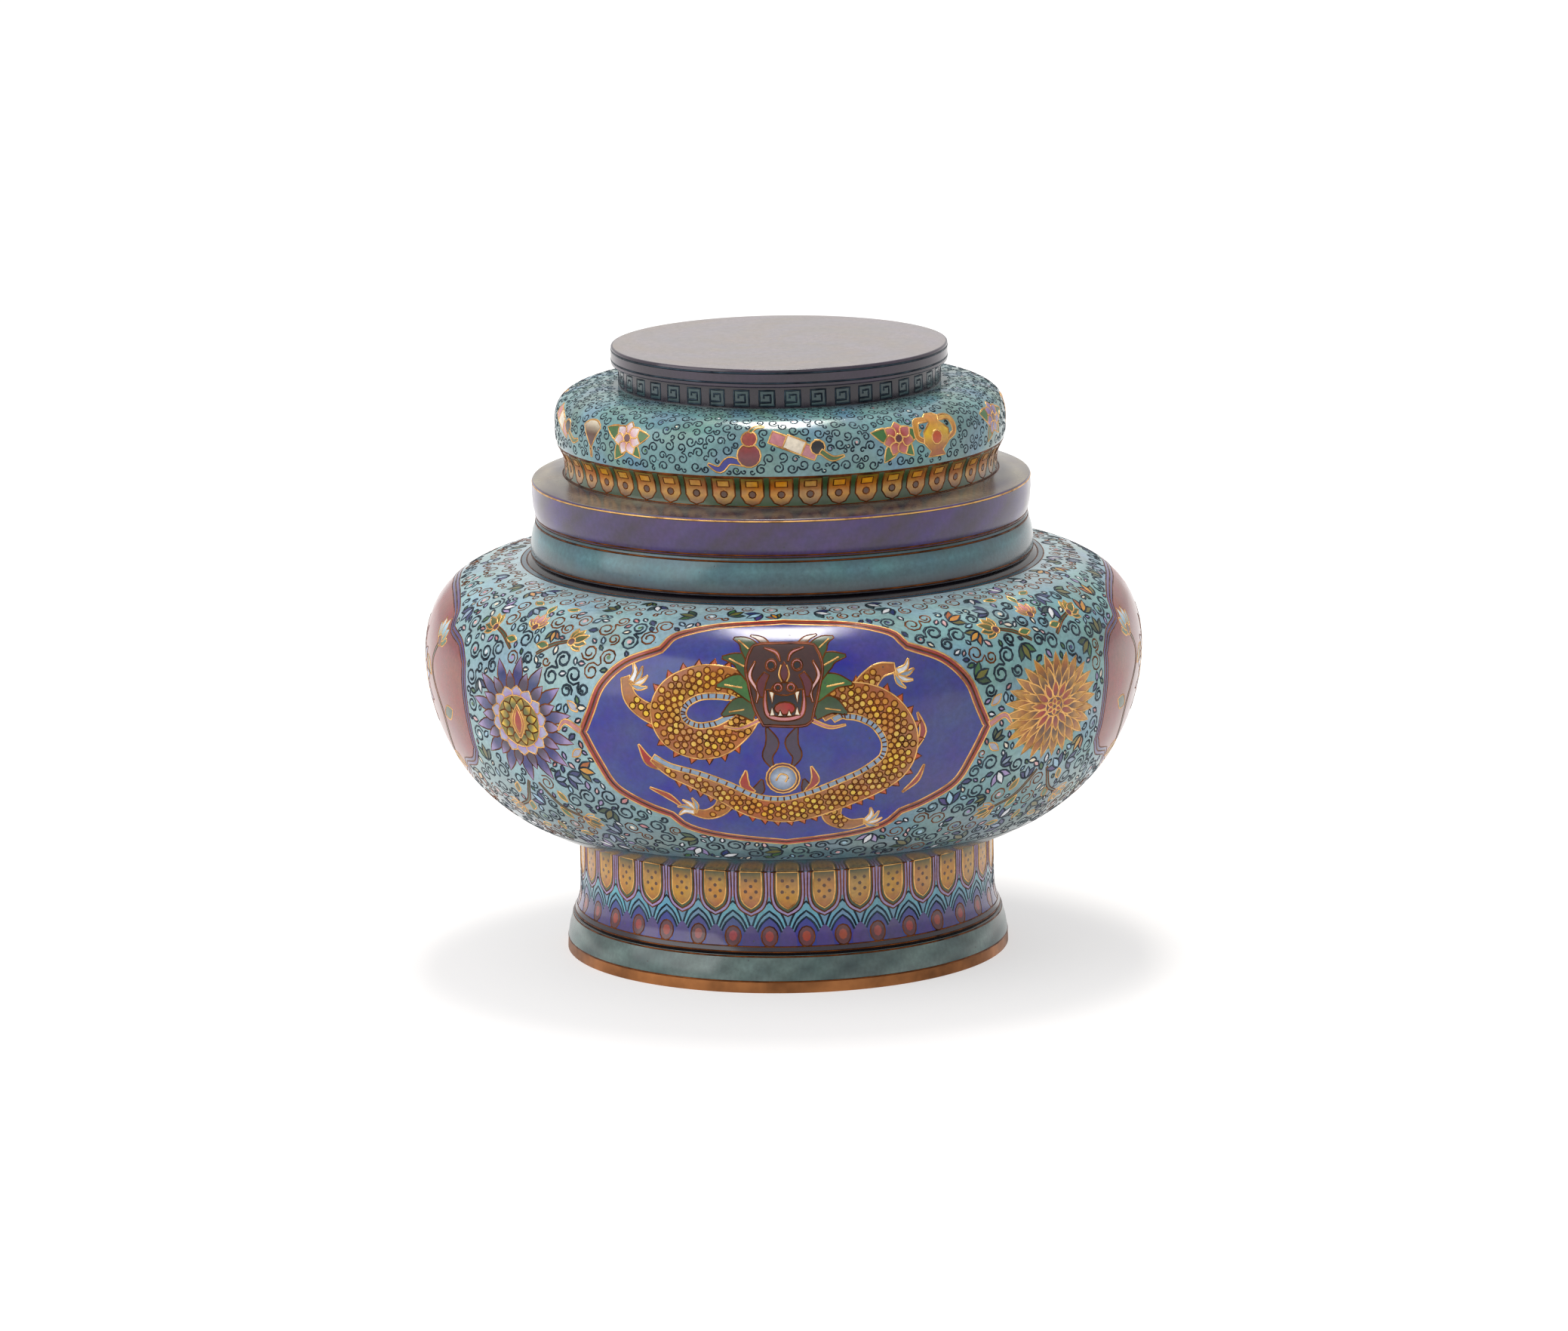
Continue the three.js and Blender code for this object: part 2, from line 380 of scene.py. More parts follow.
class Skin:
    """Collects faces of a turned body, and makes them one closed mesh."""

    def __init__(self, body):
        self.body, self.index, self.places = body, {}, []
        self.faces, self.corners, self.middles, self.pigments = [], [], [], []

    def point(self, turn, s):
        way = round((turn % TURN) * 1e5) % round(TURN * 1e5)
        if self.body.radius_at(s) < 1e-3:
            way = -1
        key = (way, round(s * 1e3))
        if key not in self.index:
            self.index[key] = len(self.places)
            self.places.append((turn, s))
        return self.index[key]

    def face(self, corners, middle, pigments):
        """One face from its (turn, s) corners, with a pigment for each corner."""
        ids = [self.point(*corner) for corner in corners]
        kept = [i for i in range(len(ids)) if ids[i] != ids[i - 1]]
        if len({ids[i] for i in kept}) < 3:
            return
        self.faces.append([ids[i] for i in kept])
        self.corners.extend(corners[i] for i in kept)
        self.middles.extend(middle for _ in kept)
        self.pigments.extend(pigments[i] for i in kept)

    def add_sheet(self, sheet):
        """Adds a drawn band, and returns the edges between its cells as wire lines."""
        places, tris, owners = sheet.triangles()
        turns = places[:, 0] / sheet.girth
        order = {}
        for tri, owner in zip(tris, owners):
            order.setdefault(owner, []).append(tri)
        for owner, group in order.items():
            pigment = sheet.cells[owner].pigment if owner >= 0 else sheet.ground
            flat = np.array(group).reshape(-1)
            x = places[flat, 0]
            if owner >= 0:
                # A cell that crosses the seam is painted as one, not as two halves a girth apart.
                middle = sheet.cells[owner].loop[:, 0].mean()
                x = x + sheet.width * np.round((middle - x) / sheet.width)
            values = paint(pigment, x, places[flat, 1]).reshape(-1, 3, 3)
            for tri, value in zip(group, values):
                corners = [(turns[i], places[i, 1]) for i in tri]
                self.face(corners, float(places[list(tri), 1].mean()), list(value))
        beside = {}
        for tri, owner in zip(tris, owners):
            for a, b in zip(tri, tri[1:] + tri[:1]):
                beside.setdefault((min(a, b), max(a, b)), []).append(owner)
        edges = []
        for (a, b), pair in beside.items():
            if len(pair) == 2 and pair[0] != pair[1]:
                wire = sheet.cells[max(pair)].wire
                if wire:
                    edges.append((places[a], places[b], wire))
        return edges

    def add_rings(self, start, end, pigment, row_step=3.0):
        """Adds plain rings of faces between two stations."""
        stations = self.body.rows(start, end, row_step)
        turns = np.linspace(-math.pi, math.pi, self.body.columns + 1)
        for low, high in zip(stations, stations[1:]):
            below = paint(pigment, turns, np.full(len(turns), low))
            above = paint(pigment, turns, np.full(len(turns), high))
            for i in range(self.body.columns):
                corners = [(turns[i], low), (turns[i + 1], low), (turns[i + 1], high), (turns[i], high)]
                self.face(corners, (low + high) / 2, [below[i], below[i + 1], above[i + 1], above[i]])

    def bake_map(self, turns, stations, drawn):
        """Map coordinates: the drawn stretch of the outline gets most of the height."""
        first, last = drawn
        before = first / (self.body.length - (last - first)) * (1 - DRAWN_SHARE)
        v = np.interp(stations, [0, first, last, self.body.length], [0, before, before + DRAWN_SHARE, 1])
        return np.column_stack([turns / TURN + 0.5, v])

    def mesh(self, name, drawn):
        turns, stations = np.array(self.places).T
        mesh = bpy.data.meshes.new(name)
        mesh.from_pydata([tuple(p) for p in self.body.place(turns, stations)], [], self.faces)
        turns, stations = np.array(self.corners).T
        layer = mesh.uv_layers.new(name="OFBake")
        layer.data.foreach_set("uv", self.bake_map(turns, stations, drawn).ravel())
        pigment = mesh.attributes.new("pigment", "FLOAT_VECTOR", "CORNER")
        pigment.data.foreach_set("vector", np.array(self.pigments).ravel())
        normals = self.body.normal(turns, stations, np.array(self.middles))
        mesh.shade_smooth()
        mesh.normals_split_custom_set([tuple(n) for n in normals])
        mesh.update()
        return mesh


# %% [markdown]
# ## Pigments
#
# Enamel colours are ground glass, so there are a few dozen of them at most, and a shaded petal is
# one powder laid beside another. The list holds them as seen through the polish. A cell may also
# take two or three powders that run into each other in one direction.

# %% Powders and how they are laid
# Some powders here paint light: the pale of the neck's roll is a painted highlight, and the greys of the
# ledge and of the disc's top are painted reflections.
POWDERS = {
    "turquoise": "78a8aa", "turquoise_blue": "6596b2", "turquoise_green": "739f8e",
    "deep_teal": "2b4444", "neck_teal": "47707a", "cobalt": "24328c", "violet": "46367c",
    "plum": "3c2c42", "wine": "5c2832", "brick": "a0332a", "coral": "8c3d39", "rose": "c98184",
    "pink": "e2b4b4", "cream": "f2e6cf", "white": "e8eaee", "lilac": "a48fc0", "sky": "9fc6dc",
    "gold": "d0922a", "amber": "a8601c", "orange": "c45a1e", "yellow": "e8bc40", "olive": "6c661e",
    "leaf": "3f6b34", "moss": "2f4a24", "brown": "5a3418", "mask": "3c1e1b", "black": "15131a",
    "slate": "8aa0b8", "ash": "a9adbd", "navy": "26306c", "ring_teal": "6e8580", "neck_blue": "3c5c6c",
    "collar_violet": "4a3476", "disc_painted_reflection_warm": "8c8078", "fret_teal": "2f5054",
    "arch_blue": "64aabf", "ledge_painted_reflection": "9c927c",
    "dark_plum": "2b2230", "disc_painted_reflection": "8a828a", "neck_painted_highlight": "58888f", "ice": "a9c4cd",
}


def linear(code):
    """A powder's linear colour from its screen code."""
    parts = [int(code[i:i + 2], 16) / 255 for i in (0, 2, 4)]
    return np.array([p / 12.92 if p <= 0.04045 else ((p + 0.055) / 1.055) ** 2.4 for p in parts])


POWDER = {name: linear(code) for name, code in POWDERS.items()}
print(len(POWDER), "powders")


def blend(powders, share):
    """The colour at each share of the way, from 0 at the first powder to 1 at the last."""
    stops = np.linspace(0, 1, len(powders))
    table = np.array([POWDER[powder] for powder in powders])
    return np.column_stack([np.interp(share, stops, table[:, axis]) for axis in range(3)])


def run_of(powders, start, end):
    """Powders that run into each other from one point to another."""
    start, end = np.array(start, float), np.array(end, float)
    way = (end - start) / np.dot(end - start, end - start)

    def laid(x, s):
        return blend(powders, np.clip((x - start[0]) * way[0] + (s - start[1]) * way[1], 0, 1))

    return laid


def from_middle(powders, middle, reach):
    """Powders laid in rings round a middle, out to a distance."""
    def laid(x, s):
        return blend(powders, np.clip(np.hypot(x - middle[0], s - middle[1]) / reach, 0, 1))

    return laid


def paint(pigment, x, s):
    """The linear colour of a pigment at places (x, s)."""
    if callable(pigment):
        return pigment(np.asarray(x), np.asarray(s))
    return np.tile(POWDER[pigment], (len(x), 1))

# %% [markdown]
# ## Shapes for drawing
#
# A cloisonné drawing uses few kinds of shape: curves through chosen points, strokes that swell and
# taper, petals, discs and spirals. Each is a short function that returns an outline in true mm.

# %% Curves, strokes, petals and discs
def curve(points, step=0.9):
    """Dense points of an open smooth curve through the given points."""
    points = np.asarray(points, float)
    padded = np.vstack([2 * points[0] - points[1], points, 2 * points[-1] - points[-2]])
    result = []
    for before, a, b, after in zip(padded, padded[1:], padded[2:], padded[3:]):
        steps = max(2, math.ceil(np.linalg.norm(b - a) / step))
        for t in np.arange(steps) / steps:
            square, cube = 2 * before - 5 * a + 4 * b - after, 3 * a - before - 3 * b + after
            result.append(0.5 * (2 * a + (b - before) * t + square * t ** 2 + cube * t ** 3))
    result.append(points[-1])
    return np.array(result)


def sideways(line):
    """The unit direction to the left of a line, at each of its points."""
    ways = np.gradient(line, axis=0)
    ways /= np.linalg.norm(ways, axis=1)[:, None] + 1e-12
    return np.column_stack([-ways[:, 1], ways[:, 0]])


def shares_along(line):
    """How far along a line each of its points is, from 0 to 1."""
    steps = np.linalg.norm(np.diff(line, axis=0), axis=1)
    return np.concatenate([[0.0], np.cumsum(steps)]) / steps.sum()


def stroke(points, widths, step=0.9):
    """A brush stroke: an outline round a curve, with widths spread evenly along it."""
    line = curve(points, step)
    share = shares_along(line)
    half = np.interp(share, np.linspace(0, 1, len(widths)), widths)[:, None] / 2
    side = sideways(line)
    return np.vstack([line + side * half, (line - side * half)[::-1]])


def petal(length, width, point=0.6, start=0.0, steps=5):
    """A petal pointing up from (0, start): `point` is 0 for a round tip and 1 for a sharp one."""
    right = []
    for i in range(steps + 1):
        t = i / steps
        full, slim = math.sin(math.pi * min(1.0, t ** 0.8)), math.sin(math.pi * t)
        bulge = full * (1 - point) + slim * point * (1.15 - 0.3 * t)
        right.append((width / 2 * max(bulge, 0.16 * (1 - t)), start + length * t))
    left = [(-x, y) for x, y in right[-2::-1]]
    return right + left


def disc(radius, sides=14, tall=1.0):
    angles = np.arange(sides) * TURN / sides
    return np.column_stack([radius * np.cos(angles), radius * tall * np.sin(angles)])


def inset(loop, distance):
    """A closed outline moved inwards (its points run anticlockwise)."""
    loop = np.asarray(loop, float)
    ways = np.roll(loop, -1, axis=0) - np.roll(loop, 1, axis=0)
    ways /= np.linalg.norm(ways, axis=1)[:, None]
    return loop + np.column_stack([-ways[:, 1], ways[:, 0]]) * distance


def around(sheet, outline, x, s, count, radius, pigment, wire="gilt", first=0.0, size=1.0, wide=1.0):
    """Copies of an outline set radially round a place, each with a pigment of its own way."""
    for i in range(count):
        angle = first + i * TURN / count
        away = (x - radius * math.sin(angle) * size, s + radius * math.cos(angle) * size)
        loop = sheet.laid([(p, q + radius) for p, q in outline], x, s, angle, size)
        loop[:, 0] = x + (loop[:, 0] - x) * wide
        reach = max(q for _, q in outline) * size
        tip = (away[0] - reach * math.sin(angle), away[1] + reach * math.cos(angle))
        sheet.cell(loop, run_of(pigment, away, tip) if isinstance(pigment, list) else pigment, wire)


# %% [markdown]
# ## The cartouche with the dragon
#
# The front carries a lobed blue panel in a red frame, with a frontal dragon that chases a pearl.
# The dragon is a traditional figure, drawn here with plain strokes: two coils behind a mask, legs
# with white claws, a green mane, and scales that are small gilt cells on amber. A backing stroke in
# slate shows along the inner side of each coil, as the belly does.

# %% Panel outline
BELLY_FOOT = FOOT_TOP = JAR.corner_near(53.4, 30.7)
PANEL_MIDDLE = 61.0
FRAME_WIDTH = 2.2
UPPER_LOBES = [[(54.5, 60.5), (51.6, 66.5), (48.6, 73.5), (42.5, 79.8), (33.5, 84.0)],
               [(33.5, 84.0), (29.8, 88.8), (17.5, 93.2), (0.0, 95.2)]]
LOWER_LOBES = [[(0.0, 27.0), (18.5, 29.8), (28.2, 33.0), (32.3, 37.3)],
               [(32.3, 37.3), (38.5, 39.8), (46.7, 45.0), (50.7, 52.5), (54.5, 60.5)]]
SIDE_UPPER = [[(47.0, 48.0), (47.8, 60.0), (47.0, 72.0)], [(47.0, 72.0), (42.5, 76.8), (34.5, 79.2)],
              [(34.5, 79.2), (30.0, 84.0), (17.5, 87.4), (0.0, 88.6)]]
SIDE_LOWER = [[(0.0, 32.6), (18.5, 34.0), (28.2, 37.2), (33.5, 41.4)],
              [(33.5, 41.4), (42.0, 43.4), (47.0, 48.0)]]


def lobed(lower, upper):
    """A closed outline, the same left and right, from the lobes of its right half."""
    right = np.vstack([curve(lobe, 2.0)[:-1] for lobe in lower + upper] + [[upper[-1][-1]]])
    left = right[-2:0:-1] * [-1, 1]
    return np.vstack([right, left])


def field_blue(x, s):
    """Cobalt that turns violet in clouds."""
    cloud = 0.5 + 0.5 * np.sin(0.11 * x + 1.7 * np.sin(0.09 * s)) * np.sin(0.13 * s + 0.05 * x)
    share = np.clip(cloud * 0.36, 0, 1)[:, None]
    return POWDER["cobalt"] * (1 - share) + POWDER["violet"] * share


def panel(sheet, x, outline, frame_pigment, field, wire="gilt"):
    """A framed panel centred at x."""
    place = np.array([x, BELLY_FOOT])
    sheet.cell(outline + place, frame_pigment, wire)
    sheet.cell(inset(outline, FRAME_WIDTH * 0.5) + place, "plum", "umber")
    sheet.cell(inset(outline, FRAME_WIDTH * 0.72) + place, frame_pigment, None)
    sheet.cell(inset(outline, FRAME_WIDTH) + place, field, wire)


# %% Lines of the dragon, each with its widths, in mm from the panel's middle and the belly's foot
LEFT_COIL = [(-8.5, 72.0), (-12.0, 75.0), (-17.5, 76.0), (-23.0, 75.3), (-28.0, 72.2), (-30.0, 67.2),
             (-28.0, 62.2), (-22.5, 59.6), (-16.5, 60.4), (-11.5, 63.6), (-8.5, 67.0)]
LEFT_WIDTHS = [4.5, 6.5, 7.0, 7.2, 7.6, 7.8, 8.0, 8.0, 7.8, 6.5, 5.0]
RIGHT_COIL = [(8.5, 67.5), (13.5, 70.6), (20.0, 70.2), (26.0, 66.6), (29.6, 60.0), (28.6, 53.2),
              (23.2, 48.6), (15.5, 45.0), (7.0, 41.6), (-1.0, 40.0), (-9.0, 41.5), (-16.0, 45.5),
              (-23.0, 48.8), (-30.0, 51.4), (-34.5, 54.6)]
RIGHT_WIDTHS = [5.0, 7.6, 8.2, 8.2, 8.0, 7.8, 7.4, 7.4, 7.4, 7.0, 6.2, 5.4, 4.4, 2.8, 0.8]
# A leg also has the middle of its foot, and the way its claws point, in radians from upright.
LEGS = [([(-29.0, 66.0), (-34.5, 67.0), (-39.2, 70.2), (-41.2, 75.4)], [6.0, 4.6, 3.6, 2.4],
         (-39.4, 74.4), -0.9),
        ([(19.0, 71.5), (21.5, 75.0), (24.5, 77.2), (28.5, 77.6)], [6.5, 5.0, 3.6, 2.4],
         (28.8, 76.6), -1.8),
        ([(12.0, 43.0), (12.6, 37.6), (17.0, 34.8), (21.5, 35.4)], [6.0, 5.0, 3.8, 2.4],
         (22.0, 35.6), -1.1),
        ([(-15.0, 45.0), (-17.5, 40.8), (-21.5, 38.8), (-25.5, 39.6)], [5.0, 4.0, 3.2, 2.2],
         (-25.0, 39.4), 0.9)]
FLAMES = [([(-31.0, 52.0), (-35.0, 54.0), (-37.5, 58.5)], 2.6),
          ([(-8.0, 46.5), (-10.5, 48.5), (-10.0, 52.5)], 2.6),
          ([(5.0, 46.5), (7.5, 49.5), (6.5, 53.5)], 2.2),
          ([(33.0, 56.0), (35.0, 61.0), (33.5, 66.0)], 1.8),
          ([(-36.0, 46.5), (-31.0, 44.0), (-27.5, 40.5)], 1.8),
          ([(31.0, 44.5), (34.5, 48.0), (36.0, 52.0)], 1.6)]
CLOUDS = [([(-4.5, 64.0), (-3.2, 60.0), (-4.4, 56.5), (-3.0, 53.0)], 3.4),
          ([(3.0, 64.0), (1.6, 60.0), (2.9, 56.5), (1.6, 53.5)], 3.4),
          ([(-6.0, 50.0), (-7.5, 46.5), (-12.0, 46.0)], 3.0),
          ([(4.6, 50.0), (6.0, 46.8), (10.5, 47.2)], 3.0)]
PEARL = np.array([-0.7, 50.3])

# %% [markdown]
# Each scale of the real dragon is a ring of wire filled with yellow glass. Bump in the material could
# fake the rings, but the rims would not catch the light one by one. So a scale is a cell of seven
# sides like any other, set in staggered rows along the coil, and its rim becomes a wire.

# %% Scales and claws
SCALE_PITCH = 1.95
SCALE_RADIUS = 0.86
SCALE_ROW_STEP = SCALE_PITCH * 0.87
CLAW_SPREAD = 0.62


def scales(sheet, put, points, widths):
    """Gold scale cells in staggered rows along a coil."""
    line = curve(points, 0.4)
    share = shares_along(line)
    length = np.linalg.norm(np.diff(line, axis=0), axis=1).sum()
    side = sideways(line)
    rows = int(length / SCALE_ROW_STEP)
    for row in range(1, rows):
        i = np.searchsorted(share, row / rows)
        width = np.interp(row / rows, np.linspace(0, 1, len(widths)), widths)
        across = np.arange(-width, width, SCALE_PITCH) + (SCALE_PITCH / 2 if row % 2 else 0)
        for offset in across:
            if abs(offset) < width / 2 - SCALE_RADIUS * 0.8:
                middle = line[i] + side[i] * offset
                powder = "yellow" if (row + int(offset * 7)) % 3 == 0 else "gold"
                sheet.cell(put(disc(SCALE_RADIUS, 7) + middle), powder, "umber")


def claws(sheet, put, middle, way):
    """Four white claws fanned round a foot."""
    for k in range(4):
        angle = way + (k - 1.5) * CLAW_SPREAD
        tip = np.array([-math.sin(angle), math.cos(angle)])
        bend = np.array([tip[1], -tip[0]]) * 0.9
        line = [middle, middle + tip * 2.4 + bend, middle + tip * 4.6]
        sheet.cell(put(stroke(line, [1.5, 1.3, 0.35])), "white" if k % 2 else "slate", "gilt")


# %% [markdown]
# The face is the same on both sides, so each feature is written once, for a side of -1 and of +1.
# Cells cover those drawn before them. So the lines run from the back to the front: mane, horns,
# plate, brows and eyes, cheeks, jaw and tongue, fangs, snout.

# %% The mask
def mask(sheet, put):
    """The dragon's frontal face: mane, horns, plate, brows, eyes, snout and open mouth."""
    for side in (-1, 1):
        for k, (reach, rise) in enumerate([(8.5, -1.0), (10.0, 2.0), (9.0, 5.0), (6.5, 6.5)]):
            start = np.array([side * 7.0, 68.0 + 4.3 * k])
            tip = start + [side * reach, rise]
            line = [start, (start + tip) / 2 + [0, 1.8], tip]
            sheet.cell(put(stroke(line, [5.0, 4.6, 0.8])), "leaf" if k == 1 else "moss", "umber")
            vein = [start + (tip - start) * 0.35 + [0, 0.9], start + (tip - start) * 0.8 + [0, 0.7]]
            sheet.line(put(vein), "gilt")
        horn = [(side * 4.0, 84.0), (side * 6.0, 87.0), (side * 9.0, 88.4)]
        sheet.cell(put(stroke(horn, [2.4, 1.9, 0.6])), "brown", "umber")
    plate = [(-5.4, 64.3), (5.4, 64.3), (7.6, 68.5), (9.0, 74.0), (10.0, 79.0), (9.0, 83.6), (6.4, 85.8),
             (-6.4, 85.8), (-9.0, 83.6), (-10.0, 79.0), (-9.0, 74.0), (-7.6, 68.5)]
    plate = curve(plate + plate[:1], 1.6)[:-1]
    sheet.cell(put(plate), "rose", "umber")
    sheet.cell(put(inset(plate, 0.45)), "mask", "umber")
    for side in (-1, 1):
        fold = [(side * 1.0, 80.6), (side * 2.0, 83.0), (side * 5.2, 84.4)]
        sheet.cell(put(stroke(fold, [0.4, 0.9, 0.4])), "rose", "umber")
        sheet.cell(put(disc(1.45, 12, 1.1) + [side * 3.3, 79.6]), "rose", "umber")
        sheet.cell(put(disc(1.0, 9, 1.1) + [side * 3.3, 79.5]), "black", "umber")
        cheek = [(side * 7.4, 80.5), (side * 8.7, 76.8), (side * 6.6, 73.0), (side * 7.0, 70.2)]
        sheet.cell(put(stroke(cheek, [0.4, 1.0, 0.8, 0.4])), "pink", "umber")
        jowl = [(side * 4.4, 77.4), (side * 5.8, 74.8), (side * 5.6, 71.6)]
        sheet.cell(put(stroke(jowl, [1.6, 2.4, 0.8])), "wine", "umber")
        sheet.line(put(curve([(side * 0.7, 79.6), (side * 1.3, 77.2), (side * 0.6, 75.4)])), "gilt")
    sheet.cell(put(np.array(petal(5.0, 2.2, 0.3)) + [0, 75.4]), "wine", "umber")
    jaw = [(-4.7, 73.4), (-4.8, 70.0), (-3.9, 67.0), (0.0, 66.1), (3.9, 67.0), (4.8, 70.0), (4.7, 73.4)]
    sheet.cell(put(curve(jaw, 1.2)), "black", "umber")
    sheet.cell(put(disc(2.6, 12, 0.62) + [0, 68.8]), "brick", "umber")
    sheet.cell(put(stroke(jaw, [0.4, 0.9, 1.1, 1.1, 1.1, 0.9, 0.4])), "rose", "umber")
    for side in (-1, 1):
        for x, y, length in ((3.1, 73.0, 3.0), (3.1, 67.0, -2.2), (1.1, 66.9, -1.5)):
            fang = [(side * (x - 0.7), y), (side * (x + 0.7), y), (side * x, y - length)]
            sheet.cell(put(fang), "cream", "umber")
    sheet.cell(put(disc(3.2, 14, 0.5) + [0, 73.6]), "mask", "umber")
    for side in (-1, 1):
        sheet.cell(put(disc(1.15, 10) + [side * 1.6, 74.0]), "rose", "umber")
        sheet.cell(put(disc(0.65, 7) + [side * 1.6, 73.9]), "black", "umber")


# %% The whole dragon
SPIKE_EVERY, CREASE_EVERY = 4, 3
BELLY_STRIP = 1.5


def dragon(sheet, x, flip=1):
    """The whole dragon and pearl in the panel centred at x; flip=-1 draws it the other way round."""
    def put(points):
        return np.asarray(points, float) * [flip, 1] + [x, BELLY_FOOT]

    for line, width in CLOUDS:
        sheet.cell(put(stroke(line, [0.6, width, width * 0.8, 0.5])), "plum", "umber")
    for line, width in FLAMES:
        sheet.cell(put(stroke(line, [0.5, width, 0.4])), "brick")
    for coil, widths, inner in ((LEFT_COIL, LEFT_WIDTHS, 1), (RIGHT_COIL, RIGHT_WIDTHS, -1)):
        line = curve(coil, 0.8)
        half = np.interp(shares_along(line), np.linspace(0, 1, len(widths)), widths)[:, None] / 2
        side = sideways(line)
        for i in range(6, len(line) - 10, SPIKE_EVERY):
            out = -inner * side[i]
            along = np.array([-out[1], out[0]]) * inner
            base = line[i] + out * half[i]
            spike = [base - along * 1.3 - out * 0.5, base + out * 1.7 - along * 0.6,
                     base + along * 1.3 - out * 0.5]
            sheet.cell(put(spike), "orange", "umber")
        band = np.vstack([line, (line + inner * side * (half + BELLY_STRIP))[::-1]])
        sheet.cell(put(band[2:-2]), "slate")
        for i in range(6, len(line) - 10, CREASE_EVERY):
            ends = [line[i] + inner * side[i] * half[i], line[i] + inner * side[i] * (half[i] + 1.4)]
            sheet.line(put(ends), "umber")
    for line, widths, foot_place, way in LEGS:
        sheet.cell(put(stroke(line, widths)), "amber")
        scales(sheet, put, line[:3], [width * 0.95 for width in widths[:3]])
        claws(sheet, put, np.array(foot_place), way)
    for coil, widths in ((LEFT_COIL, LEFT_WIDTHS), (RIGHT_COIL, RIGHT_WIDTHS)):
        sheet.cell(put(stroke(coil, widths, 0.8)), "amber")
        scales(sheet, put, coil, widths)
    for side in (-1, 1):
        whisker = [(side * 6.0, 66.0), (side * 11.0, 63.8), (side * 15.0, 64.2)]
        sheet.cell(put(stroke(whisker, [0.9, 0.8, 0.4])), "rose")
    mask(sheet, put)
    sheet.cell(put(disc(4.3, 16) + PEARL), "wine")
    sheet.cell(put(disc(3.5, 16) + PEARL), from_middle(["white", "slate", "navy"], put([PEARL])[0], 4.6))
    curl = [PEARL + offset for offset in ((-1.8, -0.6), (-0.6, 1.3), (1.2, 0.6), (0.6, -1.0))]
    sheet.line(put(curve(curl)), "gilt")


# %% [markdown]
# ## Flowers and scrolls of the ground
#
# Between the panels grow a lotus on the left and a chrysanthemum on the right, on thin dark stems
# with small buds. Round them the turquoise ground is filled with scrolls. A real craftsman bends
# them in pairs, like the letter S, until the ground is full. Here circles are packed into the free
# ground, each as large as fits, and a spiral is wound in each. Neighbours turn opposite ways and
# join, which gives the same S. Some large circles hold a sprig of leaves, and the small ones a drop
# of colour. The seed is fixed, so that every run draws the same scrolls.

# %% Flowers
def lotus(sheet, x, s, size=1.0, outer=("navy", "plum"), wide=1.12):
    """Dark spiky petals with pale tips, a pale ring, and a broad gilt heart with a red almond."""
    rows = [(7.2, 9.4, 3.3, 0.0, outer[0]), (7.0, 6.0, 3.0, TURN / 28, outer[1])]
    for radius, length, width, first, powder in rows:
        powders = [powder, powder, powder, "lilac"]
        around(sheet, petal(length, width, 0.95), x, s, 14, radius, powders, "umber", first, size, wide)
    around(sheet, petal(3.6, 3.9, 0.3), x, s, 14, 5.6, ["violet", "lilac", "ash"], "gilt", 0.0, size, wide)
    heart = from_middle(["gold", "olive"], (x, s), 7.2 * size)
    sheet.cell(sheet.laid(disc(6.7, 20) * [wide, 1], x, s, 0, size), heart)
    around(sheet, petal(3.4, 2.5, 0.2), x, s, 12, 3.0, ["moss", "olive", "yellow"], "umber",
           TURN / 24, size, wide)
    sheet.cell(sheet.laid(np.array(petal(8.8, 4.6, 0.8)) - [0, 4.4], x, s, 0, size), "amber")
    sheet.cell(sheet.laid(np.array(petal(6.6, 2.9, 0.8)) - [0, 3.3], x, s, 0, size), "brick")


def chrysanthemum(sheet, x, s, size=1.0, wide=1.26):
    """Three rings of thin petals on an amber disc, opening from a red heart."""
    sheet.cell(sheet.laid(disc(11.6, 26) * [wide, 1], x, s, 0, size), "olive", None)
    rows = [(26, 5.8, 8.0, 2.3, ["wine", "brown", "amber", "gold"]),
            (20, 4.0, 6.4, 2.0, ["wine", "brown", "gold"]),
            (13, 2.2, 4.6, 1.8, ["wine", "brick", "amber"])]
    for count, radius, length, width, powders in rows:
        outline = petal(length, width, 0.3)
        around(sheet, outline, x, s, count, radius, powders, "gilt", 0.07 * count, size, wide)
    sheet.cell(sheet.laid(disc(2.6, 12) * [wide, 1], x, s, 0, size), "wine")
    around(sheet, petal(1.7, 1.2, 0.2), x, s, 6, 0.6, "brick", "gilt", 0.0, size, wide)


def bud(sheet, x, s, turn=0.0, size=1.0, powders=("moss", "olive", "yellow")):
    """A fan-shaped bud: five petals that open upwards."""
    for k in (-2, 2, -1, 1, 0):
        loop = sheet.laid(petal(5.4 - 0.5 * abs(k), 2.3, 0.5), x, s, turn + k * 0.52, size)
        sheet.cell(loop, run_of(list(powders), (x, s), (x, s + 5.0 * size)))
    sheet.cell(sheet.laid(disc(1.2, 9), x, s, turn, size), "wine")


def leaf(sheet, x, s, turn, size=1.0, powder="leaf"):
    sheet.cell(sheet.laid(petal(4.4, 2.2, 0.8), x, s, turn, size), powder)


def stem(sheet, points, width=0.95):
    sheet.cell(stroke(points, [width * 0.7, width, width * 0.7]) + [0, BELLY_FOOT], "moss", "umber")


# %% Sprigs, and circles packed into the free ground
HEARTS = ["lilac", "pink", "white", "leaf", "sky", "rose", "navy", "cream"]
SPRIGS = [("navy", "navy", "slate"), ("moss", "leaf", "olive"), ("deep_teal", "navy", "white"),
          ("lilac", "lilac", "white"), ("navy", "violet", "sky"), ("olive", "amber", "gold"),
          ("moss", "moss", "olive")]


